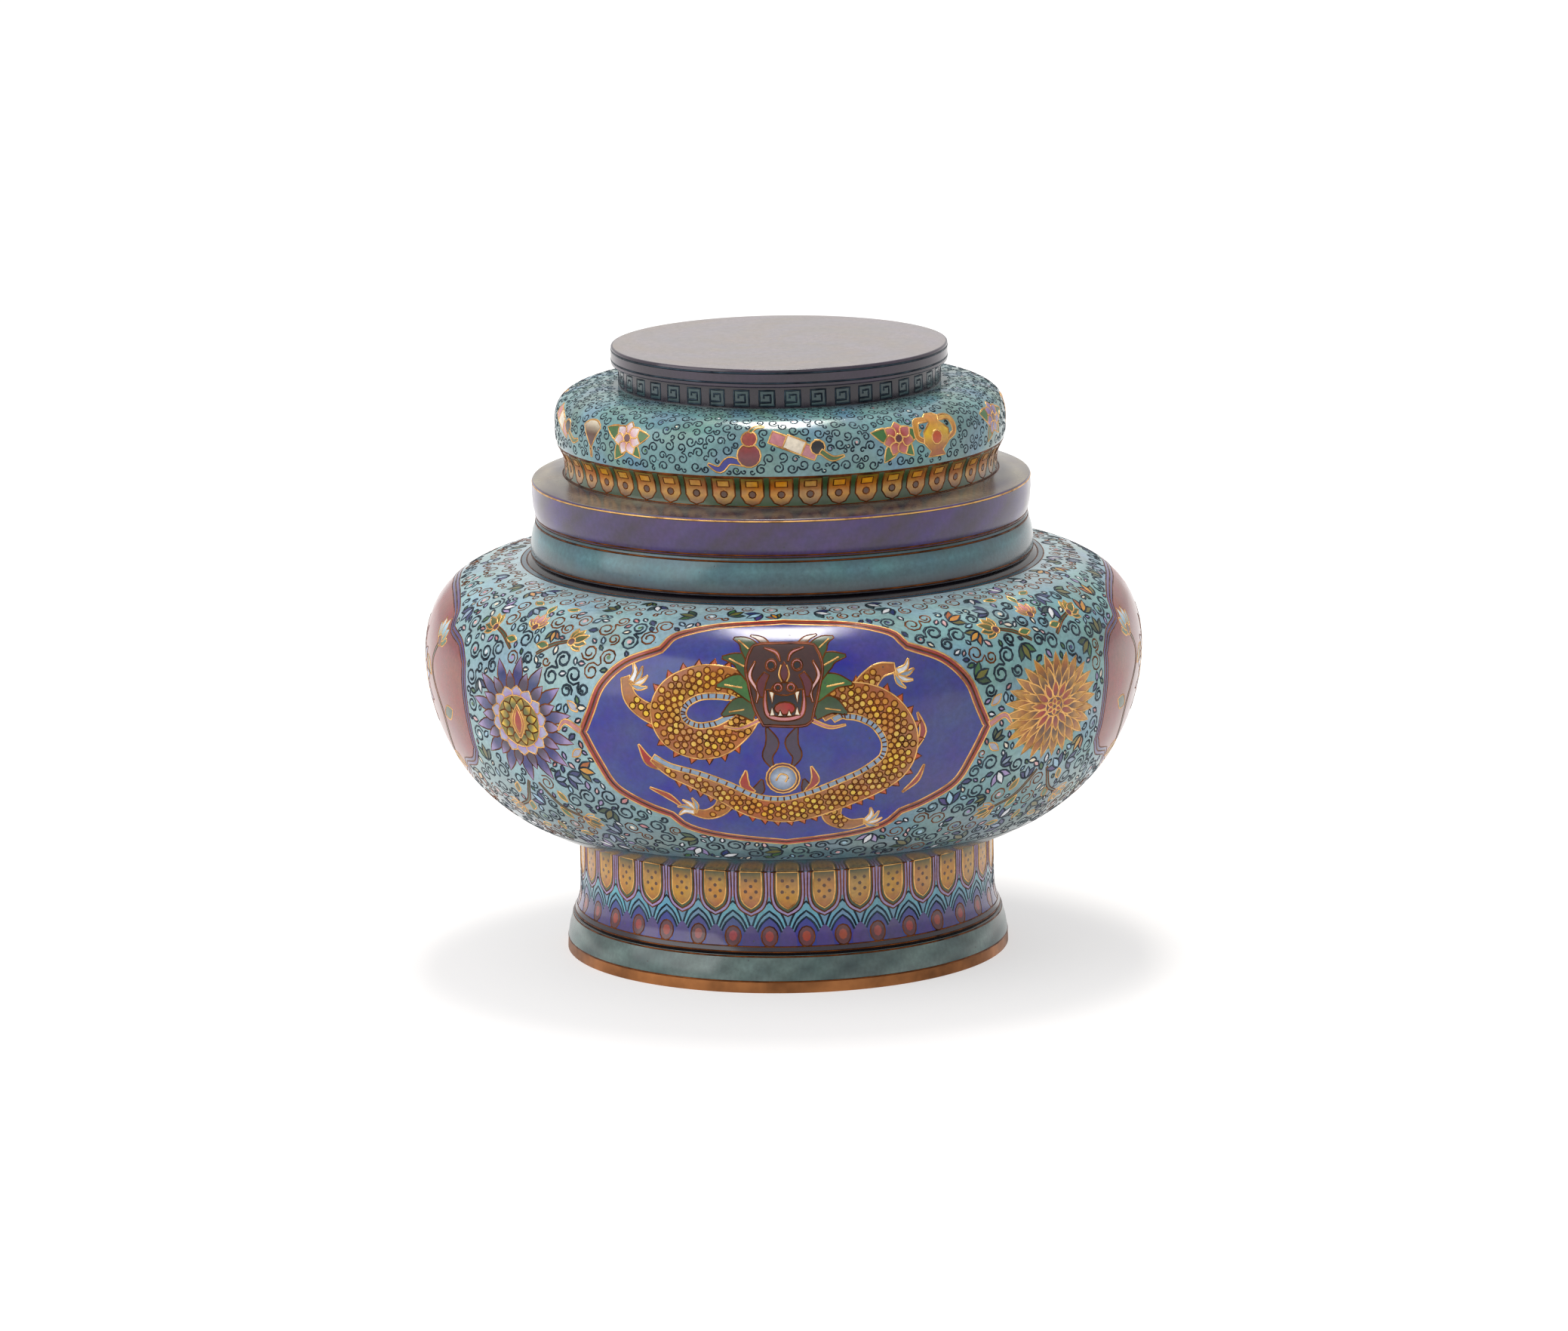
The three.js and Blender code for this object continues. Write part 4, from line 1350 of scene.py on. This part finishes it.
# %% The wire tree
def wire_tree():
    """Mesh lines in, wires out. Inputs: width and height in metres, and the material."""
    tree = bpy.data.node_groups.new("wires on a surface", "GeometryNodeTree")
    make = tree.interface.new_socket
    make("Lines", in_out="INPUT", socket_type="NodeSocketGeometry")
    make("Width", in_out="INPUT", socket_type="NodeSocketFloat")
    make("Height", in_out="INPUT", socket_type="NodeSocketFloat")
    make("Material", in_out="INPUT", socket_type="NodeSocketMaterial")
    make("Wires", in_out="OUTPUT", socket_type="NodeSocketGeometry")
    nodes, link = tree.nodes, tree.links.new
    given, result = nodes.new("NodeGroupInput"), nodes.new("NodeGroupOutput")
    curves = nodes.new("GeometryNodeMeshToCurve")
    lay = nodes.new("GeometryNodeInputNamedAttribute")
    lay.data_type = "FLOAT_VECTOR"
    lay.inputs["Name"].default_value = "lay"
    upright = nodes.new("GeometryNodeSetCurveNormal")
    upright.mode = "FREE"
    strip = nodes.new("GeometryNodeCurvePrimitiveCircle")
    strip.inputs["Resolution"].default_value = 3
    strip.inputs["Radius"].default_value = 1.0
    size = nodes.new("ShaderNodeCombineXYZ")
    shaped = nodes.new("GeometryNodeTransform")
    swept = nodes.new("GeometryNodeCurveToMesh")
    swept.inputs["Fill Caps"].default_value = True
    solid = nodes.new("GeometryNodeRealizeInstances")
    finish = nodes.new("GeometryNodeSetMaterial")
    link(given.outputs["Lines"], curves.inputs["Mesh"])
    link(curves.outputs["Curve"], upright.inputs["Curve"])
    link(lay.outputs["Attribute"], upright.inputs["Normal"])
    link(given.outputs["Height"], size.inputs["X"])
    link(given.outputs["Width"], size.inputs["Y"])
    size.inputs["Z"].default_value = 1.0
    link(strip.outputs["Curve"], shaped.inputs["Geometry"])
    link(size.outputs["Vector"], shaped.inputs["Scale"])
    link(upright.outputs["Curve"], swept.inputs["Curve"])
    link(shaped.outputs["Geometry"], swept.inputs["Profile Curve"])
    link(swept.outputs["Mesh"], solid.inputs["Geometry"])
    link(solid.outputs["Geometry"], finish.inputs["Geometry"])
    link(given.outputs["Material"], finish.inputs["Material"])
    link(finish.outputs["Geometry"], result.inputs["Wires"])
    return tree


WIRE_TREE = wire_tree()
print("wire tree", [item.name for item in WIRE_TREE.interface.items_tree])
WIRE_SHARE = 1.155  # the strip's width at the surface, for each unit of its Width input


def line_mesh(name, body, strands):
    """A mesh of lines from strands of (turn, s) points, with the surface's direction at each."""
    index, places, edges = {}, [], set()
    for strand in strands:
        ids = []
        for turn, s in strand:
            key = (round((turn % TURN) * 2e4), round(s * 200))
            if key not in index:
                index[key] = len(places)
                places.append((turn, s))
            ids.append(index[key])
        edges.update((min(a, b), max(a, b)) for a, b in zip(ids, ids[1:]) if a != b)
    turns, stations = np.array(places).T
    mesh = bpy.data.meshes.new(name)
    mesh.from_pydata([tuple(p) for p in body.place(turns, stations)], sorted(edges), [])
    lay = mesh.attributes.new("lay", "FLOAT_VECTOR", "POINT")
    lay.data.foreach_set("vector", body.normal(turns, stations, stations).ravel())
    return mesh


def wires(name, body, strands, width, height, material):
    """Wires along the strands as one plain mesh, with its own bake map."""
    lines = bpy.data.objects.new(name + "_lines", line_mesh(name, body, strands))
    bpy.context.collection.objects.link(lines)
    modifier = lines.modifiers.new("wires", "NODES")
    modifier.node_group = WIRE_TREE
    ids = {item.name: item.identifier for item in WIRE_TREE.interface.items_tree if item.in_out == "INPUT"}
    modifier[ids["Width"]] = width * MM / WIRE_SHARE
    modifier[ids["Height"]] = height * MM
    modifier[ids["Material"]] = material
    bpy.context.view_layer.update()
    seen = lines.evaluated_get(bpy.context.evaluated_depsgraph_get())
    mesh = bpy.data.meshes.new_from_object(seen)
    mesh.name = name
    bpy.data.objects.remove(lines)
    mesh.shade_smooth()
    co = np.zeros(len(mesh.vertices) * 3)
    mesh.vertices.foreach_get("co", co)
    co = co.reshape(-1, 3)
    loops = np.zeros(len(mesh.loops), int)
    mesh.loops.foreach_get("vertex_index", loops)
    across = np.arctan2(co[:, 0], -co[:, 1]) / TURN + 0.5
    up = (co[:, 2] - co[:, 2].min()) / max(1e-6, np.ptp(co[:, 2]))
    for old in list(mesh.uv_layers):
        mesh.uv_layers.remove(old)
    layer = mesh.uv_layers.new(name="OFBake")
    layer.data.foreach_set("uv", np.column_stack([across, up])[loops].ravel())
    piece = bpy.data.objects.new(name, mesh)
    bpy.context.collection.objects.link(piece)
    print(name, len(mesh.polygons), "faces along", len(strands), "strands")
    return piece


# %% [markdown]
# ## Finishes
#
# Polished enamel is glass over colour: glossy, a little uneven, with pin holes where bubbles were
# ground open. Colour clouds come from noise on the object's own coordinates, so that they stay on
# the body in any view. The wires are gilt copper, bright on the figures and dull in the fine
# scrolls. The foot's edge and the lip are bare copper, browned by handling.

# %% Helpers for materials
def new_material(name):
    material = bpy.data.materials.new(name)
    material.use_nodes = True
    tree = material.node_tree
    return material, tree.nodes, tree.links.new, tree.nodes["Principled BSDF"]


def noise_node(nodes, link, coordinates, scale, detail=3.0, rough=0.55):
    node = nodes.new("ShaderNodeTexNoise")
    node.inputs["Scale"].default_value = scale
    node.inputs["Detail"].default_value = detail
    node.inputs["Roughness"].default_value = rough
    link(coordinates.outputs["Object"], node.inputs["Vector"])
    return node.outputs["Fac"]


def ranged(nodes, link, value, low, high, to_low, to_high):
    node = nodes.new("ShaderNodeMapRange")
    for socket, number in zip(("From Min", "From Max", "To Min", "To Max"), (low, high, to_low, to_high)):
        node.inputs[socket].default_value = number
    link(value, node.inputs["Value"])
    return node.outputs["Result"]


def math_node(nodes, link, operation, a, b):
    node = nodes.new("ShaderNodeMath")
    node.operation = operation
    for socket, value in zip(node.inputs, (a, b)):
        if isinstance(value, (int, float)):
            socket.default_value = value
        else:
            link(value, socket)
    return node.outputs["Value"]


def mixed(nodes, link, share, a, b):
    """A colour mix; a and b are colours or sockets."""
    node = nodes.new("ShaderNodeMix")
    node.data_type = "RGBA"
    colour_inputs = [socket for socket in node.inputs if socket.type == "RGBA"]
    for socket, value in zip(colour_inputs, (a, b)):
        if isinstance(value, (tuple, list, np.ndarray)):
            socket.default_value = (*value, 1.0)
        else:
            link(value, socket)
    link(share, node.inputs["Factor"])
    return [socket for socket in node.outputs if socket.type == "RGBA"][0]


def bumped(nodes, link, shader, height, strength, distance):
    node = nodes.new("ShaderNodeBump")
    node.inputs["Strength"].default_value = strength
    node.inputs["Distance"].default_value = distance
    link(height, node.inputs["Height"])
    link(node.outputs["Normal"], shader.inputs["Normal"])


# %% Enamel: the pigment of each cell under a clear polish
GLASS_IOR = 1.58
PIT_COLOUR = (0.03, 0.03, 0.035)
RIPPLE = 0.00008  # metres


def enamel():
    material, nodes, link, shader = new_material("polished_enamel")
    coordinates = nodes.new("ShaderNodeTexCoord")
    pigment = nodes.new("ShaderNodeAttribute")
    pigment.attribute_name = "pigment"
    clouds = noise_node(nodes, link, coordinates, 70.0, 4.0)
    grain = noise_node(nodes, link, coordinates, 900.0, 2.0)
    tint = noise_node(nodes, link, coordinates, 110.0, 3.0)
    shade = nodes.new("ShaderNodeHueSaturation")
    link(pigment.outputs["Color"], shade.inputs["Color"])
    link(ranged(nodes, link, tint, 0.3, 0.7, 0.485, 0.515), shade.inputs["Hue"])
    link(ranged(nodes, link, clouds, 0.3, 0.7, 0.88, 1.12), shade.inputs["Saturation"])
    both = math_node(nodes, link, "ADD", clouds, grain)
    link(ranged(nodes, link, both, 0.7, 1.3, 0.54, 0.85), shade.inputs["Value"])
    pores = nodes.new("ShaderNodeTexVoronoi")
    pores.inputs["Scale"].default_value = 420.0
    link(coordinates.outputs["Object"], pores.inputs["Vector"])
    pit = ranged(nodes, link, pores.outputs["Distance"], 0.05, 0.12, 1.0, 0.0)
    sparse = ranged(nodes, link, noise_node(nodes, link, coordinates, 160.0), 0.5, 0.62, 0.0, 1.0)
    pit = math_node(nodes, link, "MULTIPLY", pit, sparse)
    link(mixed(nodes, link, pit, shade.outputs["Color"], PIT_COLOUR), shader.inputs["Base Color"])
    link(ranged(nodes, link, clouds, 0.3, 0.75, 0.13, 0.26), shader.inputs["Roughness"])
    swell = math_node(nodes, link, "MULTIPLY", noise_node(nodes, link, coordinates, 160.0, 2.0), 0.6)
    fine = math_node(nodes, link, "MULTIPLY", grain, 0.12)
    height = math_node(nodes, link, "SUBTRACT", math_node(nodes, link, "ADD", swell, fine), pit)
    bumped(nodes, link, shader, height, 0.28, RIPPLE)
    shader.inputs["IOR"].default_value = GLASS_IOR
    return material


# %% [markdown]
# Gilding wears through to brown copper in spots. One noise decides how far a spot has gone, and both
# the colour and the gloss follow it, so that dull metal is also rougher metal.

# %% Metals: gilt wire, dull wire, and the bare edge of the foot
def metal(name, bright, dull, roughness, tarnish_from, tarnish_to, scale=220.0):
    material, nodes, link, shader = new_material(name)
    coordinates = nodes.new("ShaderNodeTexCoord")
    stain = noise_node(nodes, link, coordinates, scale, 4.0, 0.6)
    share = ranged(nodes, link, stain, tarnish_from, tarnish_to, 0.0, 1.0)
    link(mixed(nodes, link, share, linear(bright), linear(dull)), shader.inputs["Base Color"])
    link(ranged(nodes, link, stain, 0.3, 0.7, roughness, roughness + 0.22), shader.inputs["Roughness"])
    bumped(nodes, link, shader, noise_node(nodes, link, coordinates, 1500.0, 2.0), 0.2, 0.00004)
    shader.inputs["Metallic"].default_value = 1.0
    return material


ENAMEL = enamel()
GILT = metal("gilt_wire", "dcac6a", "80522e", 0.28, 0.45, 0.75)
UMBER = metal("browned_wire", "7a4420", "3a2012", 0.36, 0.35, 0.7)
INK = metal("dark_scroll_wire", "38444e", "1c222c", 0.34, 0.35, 0.7)
BARE = metal("worn_copper_edge", "b87a4a", "4e3222", 0.3, 0.3, 0.8, 60.0)
print("finishes", [material.name for material in (ENAMEL, GILT, UMBER, INK, BARE)])

# %% [markdown]
# ## Skins and wires become pieces
#
# Each skin stands for its node of the frame, and the wires ride on the same body. The jar's inside
# is plain enamel, and the edge of the foot and the lip are bare metal.

# %% Make the pieces
def strands_of(sheet, edges):
    """Wire strands in (turn, s), sorted by kind, from a sheet's cell edges and free lines."""
    kinds = {}
    for a, b, wire in edges:
        kinds.setdefault(wire, []).append([(a[0] / sheet.girth, a[1]), (b[0] / sheet.girth, b[1])])
    for points, wire in sheet.lines:
        kinds.setdefault(wire, []).append([(x / sheet.girth, s) for x, s in points])
    return kinds


# Width and height in mm, and finish
WIRE_KINDS = {
    "gilt": (0.42, 0.09, GILT),
    "umber": (0.36, 0.07, UMBER),
    "ink": (0.52, 0.07, INK),
    "hair": (0.3, 0.06, INK),
}


def ring(s, columns=240):
    """A wire all the way round at a station."""
    return [(turn, s) for turn in np.linspace(-math.pi, math.pi, columns + 1)]


def dress(node, body, sheets, plain, rings, bare, drawn):
    """Builds a body's skin and wires, and gives them to the frame."""
    skin, kinds = Skin(body), {}
    for sheet in sheets:
        for wire, strands in strands_of(sheet, skin.add_sheet(sheet)).items():
            kinds.setdefault(wire, []).extend(strands)
    for start, end, pigment in plain:
        skin.add_rings(start, end, pigment)
    for s, wire in rings:
        kinds.setdefault(wire, []).append(ring(s))
    mesh = skin.mesh(node + "_skin", drawn)
    mesh.materials.append(ENAMEL)
    mesh.materials.append(BARE)
    middles = np.array(skin.middles)[np.cumsum([0] + [len(face) for face in skin.faces[:-1]])]
    is_bare = np.zeros(len(skin.faces), int)
    for start, end in bare:
        is_bare[(middles > start) & (middles < end)] = 1
    mesh.polygons.foreach_set("material_index", is_bare)
    piece = bpy.data.objects.new(node + "_skin", mesh)
    bpy.context.collection.objects.link(piece)
    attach(piece, "root")
    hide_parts(node)
    print(piece.name, len(mesh.polygons), "faces")
    for wire, strands in kinds.items():
        width, height, material = WIRE_KINDS[wire]
        made = wires(f"{node}_{wire}_wires", body, strands, width, height, material)
        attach(made, "root")
        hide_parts(node)


dress("jar", JAR, JAR_SHEETS, JAR_PLAIN, JAR_RINGS, JAR_BARE, (FOOT_GROOVE, NECK_TOP))
dress("lid", LID, LID_SHEETS, LID_PLAIN, LID_RINGS, LID_BARE, (COLLAR_FOOT, DISC_RIM))

# %% [markdown]
# ## Floor, light and camera
#
# The jar stands on a white sheet in a white tent of light. A soft box overhead, a little behind,
# makes the long cream highlight on the shoulder, and a large sheet on the left makes that side the
# lighter one. The camera looks down on the jar from two metres away with a long lens, so upright
# lines hardly lean.

# %% Floor
# The sheet is lit from below too, a little less under the jar, so that its white does not depend on
# the lamps and the shadow stays soft and pale.
FLOOR_GLOW = (0.52, 0.67)
GLOW_REACH = (0.25, 0.9)


def floor_material():
    material, nodes, link, shader = new_material("white_floor")
    coordinates = nodes.new("ShaderNodeTexCoord")
    paper = noise_node(nodes, link, coordinates, 3.0)
    link(mixed(nodes, link, paper, (0.45, 0.45, 0.45), (0.49, 0.485, 0.485)), shader.inputs["Base Color"])
    shader.inputs["Roughness"].default_value = 0.9
    shader.inputs["Emission Color"].default_value = (1.0, 0.99, 0.99, 1.0)
    away = nodes.new("ShaderNodeVectorMath")
    away.operation = "LENGTH"
    link(coordinates.outputs["Object"], away.inputs[0])
    glow = ranged(nodes, link, away.outputs["Value"], *GLOW_REACH, *FLOOR_GLOW)
    link(glow, shader.inputs["Emission Strength"])
    return material


FLOOR_REACH = 9.0
floor_mesh = bpy.data.meshes.new("floor")
corners = [(x * FLOOR_REACH, y * FLOOR_REACH, 0.0) for x, y in ((-1, -1), (1, -1), (1, 1), (-1, 1))]
floor_mesh.from_pydata(corners, [], [(0, 1, 2, 3)])
floor_mesh.materials.append(floor_material())
floor = bpy.data.objects.new("floor", floor_mesh)
bpy.context.collection.objects.link(floor)
print("floor", 2 * FLOOR_REACH, "m wide")

# %% Light
TENT_STRENGTH = 0.78
CREAM, DAYLIGHT = (1.0, 0.96, 0.9), (1.0, 0.99, 0.98)

world = bpy.data.worlds.new("white tent")
bpy.context.scene.world = world
world.use_nodes = True
world.node_tree.nodes["Background"].inputs["Color"].default_value = (1.0, 0.99, 0.985, 1.0)
world.node_tree.nodes["Background"].inputs["Strength"].default_value = TENT_STRENGTH


def soft_light(name, way, distance, size, power, colour):
    """A rectangular light that faces the jar, `distance` metres away along `way`."""
    light = bpy.data.lights.new(name, "AREA")
    light.shape = "RECTANGLE"
    light.size, light.size_y = size
    light.energy = power
    light.color = colour
    lamp = bpy.data.objects.new(name, light)
    way = Vector(way).normalized()
    lamp.location = Vector((0, 0, 0.1)) + way * distance
    lamp.rotation_euler = way.to_track_quat("Z", "Y").to_euler()
    bpy.context.collection.objects.link(lamp)


soft_light("soft box", (0.0, 0.29, 0.957), 1.0, (0.22, 0.56), 8.0, CREAM)
soft_light("left sheet", (-0.8, -0.4, 0.45), 1.6, (1.6, 1.6), 14.0, DAYLIGHT)

# %% Camera
CAMERA_PLACE = (0.0, -1.987, 0.483)
CAMERA_TILT = math.radians(90 - 11.669)
CAMERA_ROLL = math.radians(-0.888)
CAMERA_LENS = 181.0

camera_data = bpy.data.cameras.new("camera")
camera_data.lens = CAMERA_LENS
camera_data.sensor_width = 36.0
camera_data.sensor_fit = "HORIZONTAL"
camera = bpy.data.objects.new("camera", camera_data)
aim = Matrix.Rotation(CAMERA_TILT, 4, "X") @ Matrix.Rotation(CAMERA_ROLL, 4, "Z")
camera.matrix_world = Matrix.Translation(CAMERA_PLACE) @ aim
bpy.context.collection.objects.link(camera)
bpy.context.scene.camera = camera
bpy.context.scene.view_settings.view_transform = "Standard"
print("camera at", CAMERA_PLACE, "with a lens of", CAMERA_LENS, "mm")
